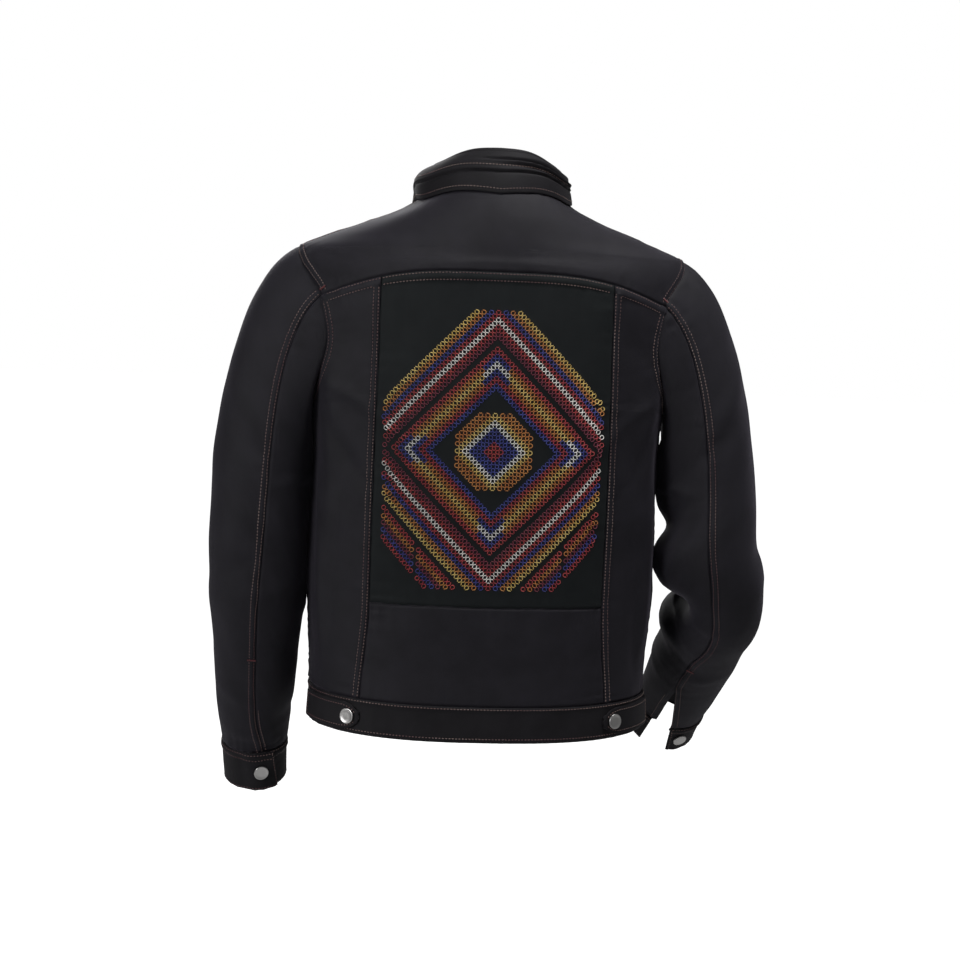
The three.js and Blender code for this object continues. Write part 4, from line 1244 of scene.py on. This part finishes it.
# ---- Sleeves ----
class Arm:
    """The middle line of an arm, read by the distance down it from the biceps."""

    def __init__(self, side, rings):
        self.side, self.rings = side, dict(rings)
        centres = np.stack([side * rings["x"], rings["y"], rings["z"]], -1)
        count = len(centres)
        self.rings["at"] = np.arange(count) / (count - 1)
        ends = [2 * centres[0] - centres[1], 2 * centres[-1] - centres[-2]]
        self.knots = np.vstack([ends[:1], centres, ends[1:]])
        self.ts = np.linspace(0, 1, 201)
        line = self.middle(self.ts)
        self.run = lengths(line, 0)
        self.length = self.run[-1]

    def middle(self, t):
        """A centripetal curve through the rings' centres."""
        t = np.clip(np.asarray(t, float), 0, 1)
        count = len(self.knots) - 3
        i = np.minimum((t * count).astype(int), count - 1)
        weight = (t * count - i)[..., None]
        p0, p1, p2, p3 = (self.knots[i + k] for k in range(4))
        d0, d1, d2 = (
            np.sqrt(np.linalg.norm(b - a, axis=-1, keepdims=True))
            for a, b in ((p0, p1), (p1, p2), (p2, p3))
        )
        leave = ((p1 - p0) / d0 - (p2 - p0) / (d0 + d1) + (p2 - p1) / d1) * d1
        arrive = ((p2 - p1) / d1 - (p3 - p1) / (d1 + d2) + (p3 - p2) / d2) * d1
        return hermite(p1, leave, p2, arrive, weight)

    def ring(self, along):
        at = np.interp(np.clip(along, 0, self.length), self.run, self.ts)
        way = unit(self.middle(at + 1e-4) - self.middle(at - 1e-4))
        outward = np.broadcast_to(np.array([self.side, 0.0, 0.0]), way.shape)
        outward = unit(outward - way * (outward * way).sum(-1, keepdims=True))
        backward = np.cross(outward, way) * self.side
        sizes = [read(self.rings, "at", name, at) for name in ("half_width", "half_depth", "twist")]
        return self.middle(at), outward, backward, sizes


def arm_point(arm, folds, turn, along):
    centre, outward, backward, (half_width, half_depth, twist) = arm.ring(along)
    place = turn + twist
    lift = np.zeros(place.shape)
    for n in range(len(folds["along"])):
        down = np.exp(-(((along - folds["along"][n]) / folds["length"][n]) ** 2))
        round_it = np.exp(-((turn_from(folds["turn"][n], place) / folds["spread"][n]) ** 2))
        lift = lift + folds["height"][n] * down * round_it
    angle = np.radians(place)
    return (
        centre
        + outward * ((half_width + lift) * np.cos(angle))[..., None]
        + backward * ((half_depth + lift) * np.sin(angle))[..., None]
    )


def sleeve_point(sleeve, arm, turn, along):
    """The sleeve's surface; along is the share of its head below 0."""
    turn, along = np.broadcast_arrays(np.asarray(turn, float), np.asarray(along, float))
    lower = arm_point(arm, sleeve["folds"], turn, np.maximum(along, 0))
    if not (along < 0).any():
        return lower
    whole = np.mod(turn, 360)
    on_back = whole <= 180
    hole_turn, hole_level = armhole_edge(np.where(on_back, 90 - whole, whole - 270), on_back)
    droop = TIP_DROOP + (PIT_DROOP - TIP_DROOP) * (1 - np.cos(np.radians(turn))) / 2
    droop = np.radians(droop)
    leave = np.stack([np.cos(droop), np.zeros(droop.shape), -np.sin(droop)], -1)
    start, _ = body(hole_turn, hole_level, SEAM_GAP)
    start = start + leave * (SEAM_GAP / 2)
    flip = np.array([sleeve["side"], 1, 1])
    start, leave = start * flip, leave * flip
    end = arm_point(arm, sleeve["folds"], turn, np.zeros(turn.shape))
    arrive = unit(arm_point(arm, sleeve["folds"], turn, np.full(turn.shape, 2.0)) - end)
    reach = CAP_REACH * np.linalg.norm(start - end, axis=-1, keepdims=True)
    share = np.clip(1 + along, 0, 1)[..., None]
    head = hermite(start, reach * leave, end, reach * arrive, share)
    return np.where((along < 0)[..., None], head, lower)


def sleeve_surface(sleeve, arm, turn, along, out=0.0):
    turn, along = np.broadcast_arrays(np.asarray(turn, float), np.asarray(along, float))
    step = np.where(along < 0, 0.01, 1.0)
    inside = np.clip(along, -1 + 2 * step, arm.length - step)
    at = np.where(along < 0, np.minimum(inside, -step), np.maximum(inside, step))
    round_it = sleeve_point(sleeve, arm, turn + 1, at) - sleeve_point(sleeve, arm, turn - 1, at)
    down_it = sleeve_point(sleeve, arm, turn, at + step) - sleeve_point(sleeve, arm, turn, at - step)
    normal = -sleeve["side"] * unit(np.cross(round_it, down_it))
    return sleeve_point(sleeve, arm, turn, along) + normal * np.asarray(out)[..., None], normal


def slit_half(sleeve, arm, along):
    """Half the degrees that a sleeve's slit stands open at a distance down the arm."""
    share = np.clip((along - (arm.length - sleeve["slit"])) / sleeve["slit"], 0, 1)
    return sleeve["gape"] / 2 * share**SLIT_CURVE


def sleeve_creases(rows, arm, turn, along):
    """The height of a table of sleeve creases at a place."""
    twist = read(arm.rings, "at", "twist", np.interp(np.maximum(along, 0), arm.run, arm.ts))
    place = turn + twist
    down = np.where(along < 0, along * HEAD_LENGTH, along)
    height = np.zeros(down.shape)
    for n in range(len(rows["along"])):
        turned = turn_from(rows["turn"][n], place)
        drop = down - rows["along"][n] - rows["slant"][n] * turned
        near = np.exp(-((drop / rows["length"][n]) ** 2))
        height = height + rows["height"][n] * near * np.exp(-((turned / rows["spread"][n]) ** 2))
    fade = smooth((along + 1) * 6) * smooth((arm.length - along) / 20)
    return height * fade


def sleeve_panel(name, sleeve, arm, creases, first, last):
    """The part of a sleeve between two turns, from its head to its cuff."""
    end = arm.length - sleeve["cuff"]
    head = np.linspace(0, 1, 52)[:-1] ** 1.05 - 1
    lower = end * spread(end, fine_start=False)
    along = np.concatenate([head, lower])[:, None]
    gape = slit_half(sleeve, arm, np.maximum(along, 0))
    start = first + (gape if first == BACK_SEAM else 0 * gape)
    stop = last - (gape if last == BACK_SEAM + 360 else 0 * gape)
    shares = spread((last - first) * 1.06)
    turn = start + (stop - start) * shares[None]
    along = np.broadcast_to(along, turn.shape)
    points, normals = sleeve_surface(sleeve, arm, turn, along)
    cloth = Cloth(name, points, normals, inside_out=sleeve["side"] < 0, unevenness=0.7)
    cloth.relief += sleeve_creases(creases, arm, turn, along)
    return cloth


def make_cuff(name, sleeve, arm):
    """A doubled band round the sleeve's end, lapped where it is fastened."""
    lift = BAND_CLOTH + 2 * SEAM_GAP
    rows = spread(sleeve["cuff"], step=BAND_STEP)[:, None]
    along = arm.length - sleeve["cuff"] * (1 - rows)
    gape = slit_half(sleeve, arm, along)
    start = BACK_SEAM + gape - sleeve["tuck"]
    stop = BACK_SEAM + 360 - gape + sleeve["lap"]
    lap_from = BACK_SEAM + 360 - sleeve["tuck"] - CUFF_SLOPE - CUFF_LAP_CLEAR
    turn = start + (stop - start) * spread(CUFF_ROUND)[None]
    rise = smooth((turn - lap_from) / CUFF_SLOPE) * lift if sleeve["lap"] else 0 * turn
    along = np.broadcast_to(along, turn.shape)
    points, normals = sleeve_surface(sleeve, arm, turn, along, rise + BAND_OUT)
    cuff = Cloth(f"cuff_{name}", points, normals, sleeve["side"] < 0, 0.35)
    cuff.seam("top", "felled", form=CUFF_SEAM)
    topstitch(cuff, "top", CUFF_SEAM["rows"])
    for side in ("bottom", "last"):
        cuff.seam(side, "turned")
        topstitch(cuff, side, (CUFF_ROW,))
    sew(cuff, f"cuff_{name}", BAND_CLOTH, BAND_TWILL, rounded=True)


def make_sleeve(name):
    """Both panels of a sleeve, its cuff and the cuff's snap."""
    sleeve = SLEEVES[name]
    arm = Arm(sleeve["side"], sleeve["rings"])
    creases = STRAIGHT_CREASES if sleeve["side"] > 0 else BENT_CREASES
    upper = sleeve_panel(
        f"sleeve_upper_{name}", sleeve, arm, creases, FRONT_SEAM, BACK_SEAM + 360
    )
    under = sleeve_panel(f"sleeve_under_{name}", sleeve, arm, creases, BACK_SEAM, FRONT_SEAM)
    upper.seam("last", "felled", form=SLEEVE_SEAM).seam("first", "joined")
    topstitch(upper, "last", SLEEVE_SEAM["rows"])
    under.seam("first", "joined").seam("last", "felled", form=SLEEVE_SEAM)
    topstitch(under, "last", SLEEVE_SEAM["rows"])
    for panel in (upper, under):
        panel.seam("top", "joined", drop=ARMHOLE_DROP).seam("bottom", "joined")
        sew(panel, panel.name, CLOTH, JACKET_CLOTH)
    bar_at = upper.down[-1, -1] - SLIT_BAR["up"]
    bar_line = upper.beside("last", SLIT_BAR["in"], start=bar_at - 8, end=bar_at + 8)
    bartacks.extend(bartack_places(bar_line, SLIT_BAR))
    slit_row_from = lengths(under.points, 0)[-1, 0] - SLIT_ROW_LENGTH
    topstitch(under, "first", (SLIT_ROW,), start=slit_row_from)
    make_cuff(name, sleeve, arm)
    middle = arm.length - sleeve["cuff"] / 2
    cuff_end = BACK_SEAM + 360 - slit_half(sleeve, arm, middle) + sleeve["lap"]
    lift = BAND_CLOTH + 2 * SEAM_GAP if sleeve["lap"] else 0
    seat = sleeve_surface(
        sleeve, arm, np.array([cuff_end - sleeve["snap"]]), np.array([middle]),
        np.array([BAND_OUT + lift + SEAM_GAP]),
    )
    make_snap(f"cuff_snap_{name}", seat[0][0], seat[1][0])


# ---- Snaps ----


def make_snap(node, point, normal):
    """A matte cap with a rolled rim on a short post."""
    deselect()
    bpy.ops.mesh.primitive_cylinder_add(
        vertices=48, radius=SNAP_RADIUS * MM, depth=SNAP_CAP * MM,
        location=(0, 0, (SNAP_LIFT + SNAP_CAP / 2) * MM),
    )
    snap = bpy.context.object
    bpy.ops.object.transform_apply(location=True)
    bpy.ops.object.mode_set(mode="EDIT")
    bpy.ops.mesh.select_mode(type="FACE")
    for side, steps in SNAP_STEPS.items():
        way = 1 if side == "outer" else -1
        bpy.ops.mesh.select_all(action="DESELECT")
        bpy.ops.object.mode_set(mode="OBJECT")
        for face in snap.data.polygons:
            face.select = face.normal.z * way > 0.9
        bpy.ops.object.mode_set(mode="EDIT")
        for inset, raised in steps:
            if inset:
                bpy.ops.mesh.inset(thickness=inset * MM)
                bpy.ops.transform.translate(value=(0, 0, raised * MM))
            else:
                bpy.ops.mesh.extrude_region_move(
                    TRANSFORM_OT_translate={"value": (0, 0, raised * MM)}
                )
    bpy.ops.object.mode_set(mode="OBJECT")
    apply_modifier(
        snap, "BEVEL", width=0.35 * MM, segments=3, limit_method="ANGLE",
        angle_limit=math.radians(35),
    )
    turn = Vector((0, 0, 1)).rotation_difference(Vector(normal)).to_matrix().to_4x4()
    snap.data.transform(Matrix.Translation(Vector(point) * MM) @ turn)
    finish_piece(snap, f"{node}_cap", SNAP_METAL, 40)
    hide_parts(node)


def snap_on_body(node, turn, level, out):
    """A snap on the body's surface, `out` millimetres outside it."""
    seat, way = body(np.array([float(turn)]), np.array([float(level)]), out)
    make_snap(node, seat[0], way[0])


# ---- Embroidery ----
DIAGONALS = ((1, 1), (-1, 1), (-1, -1), (1, -1))


def star_thread(across, up):
    """The star in the middle: stepped squares round a small cross."""
    diamond, square = across + up, max(across, up)
    if diamond <= 2:
        return "red"
    if diamond <= 6:
        return "blue"
    if diamond <= 8:
        return "white"
    if diamond <= 14 and square <= 10:
        return "gold" if diamond <= 10 else "orange"
    return None


def motif_thread(i, j):
    """The thread of the loop at a place of the lattice, or None."""
    across, up = abs(i), abs(j)
    ring = across + up
    if j > 0 and ring > SHOULDER_RING:
        return None
    if ring in (22, 24, 26) and min(across, up) <= 3:
        return "white" if ring == 24 else "blue"
    if ring > 46 and across % 14 == 7:
        return None
    return star_thread(across, up) or RING_THREADS.get(ring)


def loop_shape(joined):
    """A loop of floss, open on each diagonal where its neighbour has the same thread."""
    paths = []
    for k in range(4):
        here, after = DIAGONALS[k], DIAGONALS[(k + 1) % 4]
        start_angle = 45 + 90 * k
        path = []
        for place, way, turned in ((0, here, 1), (1, after, -1)):
            angle = math.radians(start_angle + 90 * place)
            along = np.array([math.cos(angle), math.sin(angle)])
            aside = np.array([-along[1], along[0]]) * turned
            if joined[(k + place) % 4]:
                ends = [along * CELL * math.sqrt(0.5) + aside * NECK_HALF]
            else:
                ends = [along * LOOP_RADIUS]
            path.append(ends)
        middle = [
            LOOP_RADIUS * np.array([math.cos(math.radians(a)), math.sin(math.radians(a))])
            for a in (start_angle + 28, start_angle + 62)
        ]
        paths.append(path[0] + middle + path[1])
    points, faces = [], []
    for path in paths:
        for n, point in enumerate(path):
            before, after = path[max(n - 1, 0)], path[min(n + 1, len(path) - 1)]
            way = unit(after - before)
            aside = np.array([-way[1], way[0]])
            base = len(points)
            for angle in (90, 210, 330):
                lift = math.sin(math.radians(angle)) * FLOSS / 2
                out = aside * math.cos(math.radians(angle)) * FLOSS / 2
                points.append([*(point + out), lift])
            if n:
                for edge in range(3):
                    a, b = base + edge, base + (edge + 1) % 3
                    faces.append([a - 3, a, b, b - 3])
    return np.array(points), faces


def make_embroidery(panel):
    """Loops of floss on a lattice, one piece for each colour."""
    lattice = {}
    for i in range(-MOTIF_SIDE, MOTIF_SIDE + 1):
        for j in range(MOTIF_BOTTOM, MOTIF_TOP + 1):
            thread = motif_thread(i, j) if (i + j) % 2 == 0 else None
            if thread:
                lattice[i, j] = thread
    spots = list(lattice)
    guess = [(-i * CELL, MOTIF_DEPTH, MOTIF_LEVEL + j * CELL) for i, j in spots]
    points, normals = panel.lay(guess)
    side = unit(np.cross(normals, np.array([0, 0, 1.0])) * -1)
    rise = np.cross(normals, side) * -1
    shapes = {}
    worked = {name: [] for name in FLOSS_COLOURS}
    for (i, j), point, right, up, out in zip(spots, points, side, rise, normals):
        thread = lattice[i, j]
        joined = tuple(lattice.get((i + a, j + b)) == thread for a, b in DIAGONALS)
        if joined not in shapes:
            shapes[joined] = loop_shape(joined)
        worked[thread].append((shapes[joined], (point + out * FLOSS * 0.3, right, up, out)))
    for name, colours in FLOSS_COLOURS.items():
        if worked[name]:
            floss = thread_material(f"{name}_floss", *colours)
            copies(f"embroidery_{name}", worked[name], floss)


# ---- Putting the jacket together ----
make_yoke()
make_side_back("back_side_left", back_limit, princess, "first")
make_side_back("back_side_right", princess_right, back_limit_right, "last")
centre_panel = make_centre_back()
make_front()
make_waistband()
make_tab("left", False)
make_tab("right", True)
make_collar()
make_sleeve("left")
make_sleeve("right")
for number, level in enumerate(FRONT_SNAP_LEVELS, 1):
    snap_on_body(f"front_snap_{number}", 270, level, BAND_OUT + SEAM_GAP)
last_snap = f"front_snap_{len(FRONT_SNAP_LEVELS) + 1}"
snap_on_body(last_snap, 270, WAISTBAND_SNAP_LEVEL, WAISTBAND_OUT + SEAM_GAP)
tab_turn, tab_level = TAB["to"] - TAB_SNAP_INSET, (TAB["top"] + TAB["bottom"]) / 2
for name, turn in (("left", tab_turn), ("right", 180 - tab_turn)):
    snap_on_body(f"tab_snap_{name}", turn, tab_level, WAISTBAND_OUT + 3 * SEAM_GAP + TAB["cloth"])
make_embroidery(centre_panel)
copies("topstitching", [(STITCH, place) for place in stitches], TOPSTITCH)
copies("bartacks", [(STITCH, place) for place in bartacks], BARTACK)

# ---- Floor, light and camera ----


def make_stage():
    """A pale floor and a world that look white to the camera and light the scene less."""
    deselect()
    bpy.ops.mesh.primitive_circle_add(
        vertices=96, radius=30, fill_type="NGON", location=(0, 0, FLOOR_LEVEL)
    )
    floor = bpy.context.object
    floor.name = "pale_floor"
    material, tree, shader = new_material(
        "pale_floor", (0.5, 0.5, 0.5), 0.9, Emission_Color=(1, 1, 1, 1)
    )
    glow = add_node(tree, "LightPath", {})["Is Camera Ray"]
    tree.links.new(glow, shader.inputs["Emission Strength"])
    floor.data.materials.append(material)
    world = bpy.data.worlds.new("studio")
    world.use_nodes = True
    bpy.context.scene.world = world
    tree = world.node_tree
    seen = add_node(tree, "LightPath", {})["Is Camera Ray"]
    strength = add_node(tree, "MapRange", {"Value": seen, "To Min": STUDIO_GLOW, "To Max": 1.0})
    background = tree.nodes["Background"].inputs
    tree.links.new(strength["Result"], background["Strength"])
    background["Color"].default_value = (1, 1, 1, 1)


def softbox(name, place, aim, size, power):
    """A round soft lamp."""
    light = bpy.data.lights.new(name, "AREA")
    light.shape = "DISK"
    light.size = size
    light.energy = power
    lamp = bpy.data.objects.new(name, light)
    bpy.context.collection.objects.link(lamp)
    lamp.location = place
    lamp.rotation_euler = (Vector(aim) - Vector(place)).to_track_quat("-Z", "Y").to_euler()


def make_camera():
    """The camera, turned about its own axis by its roll."""
    turn, rise, roll = (math.radians(CAMERA[k]) for k in ("azimuth", "elevation", "roll"))
    back = Vector((math.sin(turn) * math.cos(rise), math.cos(turn) * math.cos(rise), math.sin(rise)))
    right = (-back).cross(Vector((0, 0, 1))).normalized()
    up = right.cross(-back)
    right, up = (
        right * math.cos(roll) + up * math.sin(roll),
        up * math.cos(roll) - right * math.sin(roll),
    )
    data = bpy.data.cameras.new("camera")
    data.sensor_width = SENSOR
    data.lens = SENSOR * FOCAL
    camera = bpy.data.objects.new("camera", data)
    bpy.context.collection.objects.link(camera)
    turned = Matrix((right, up, back)).transposed().to_4x4()
    camera.matrix_world = Matrix.Translation(Vector(AIM) + back * CAMERA["distance"]) @ turned
    bpy.context.scene.camera = camera


make_stage()
for light in LIGHTS:
    softbox(*light)
make_camera()
bpy.context.scene.view_settings.view_transform = "Standard"
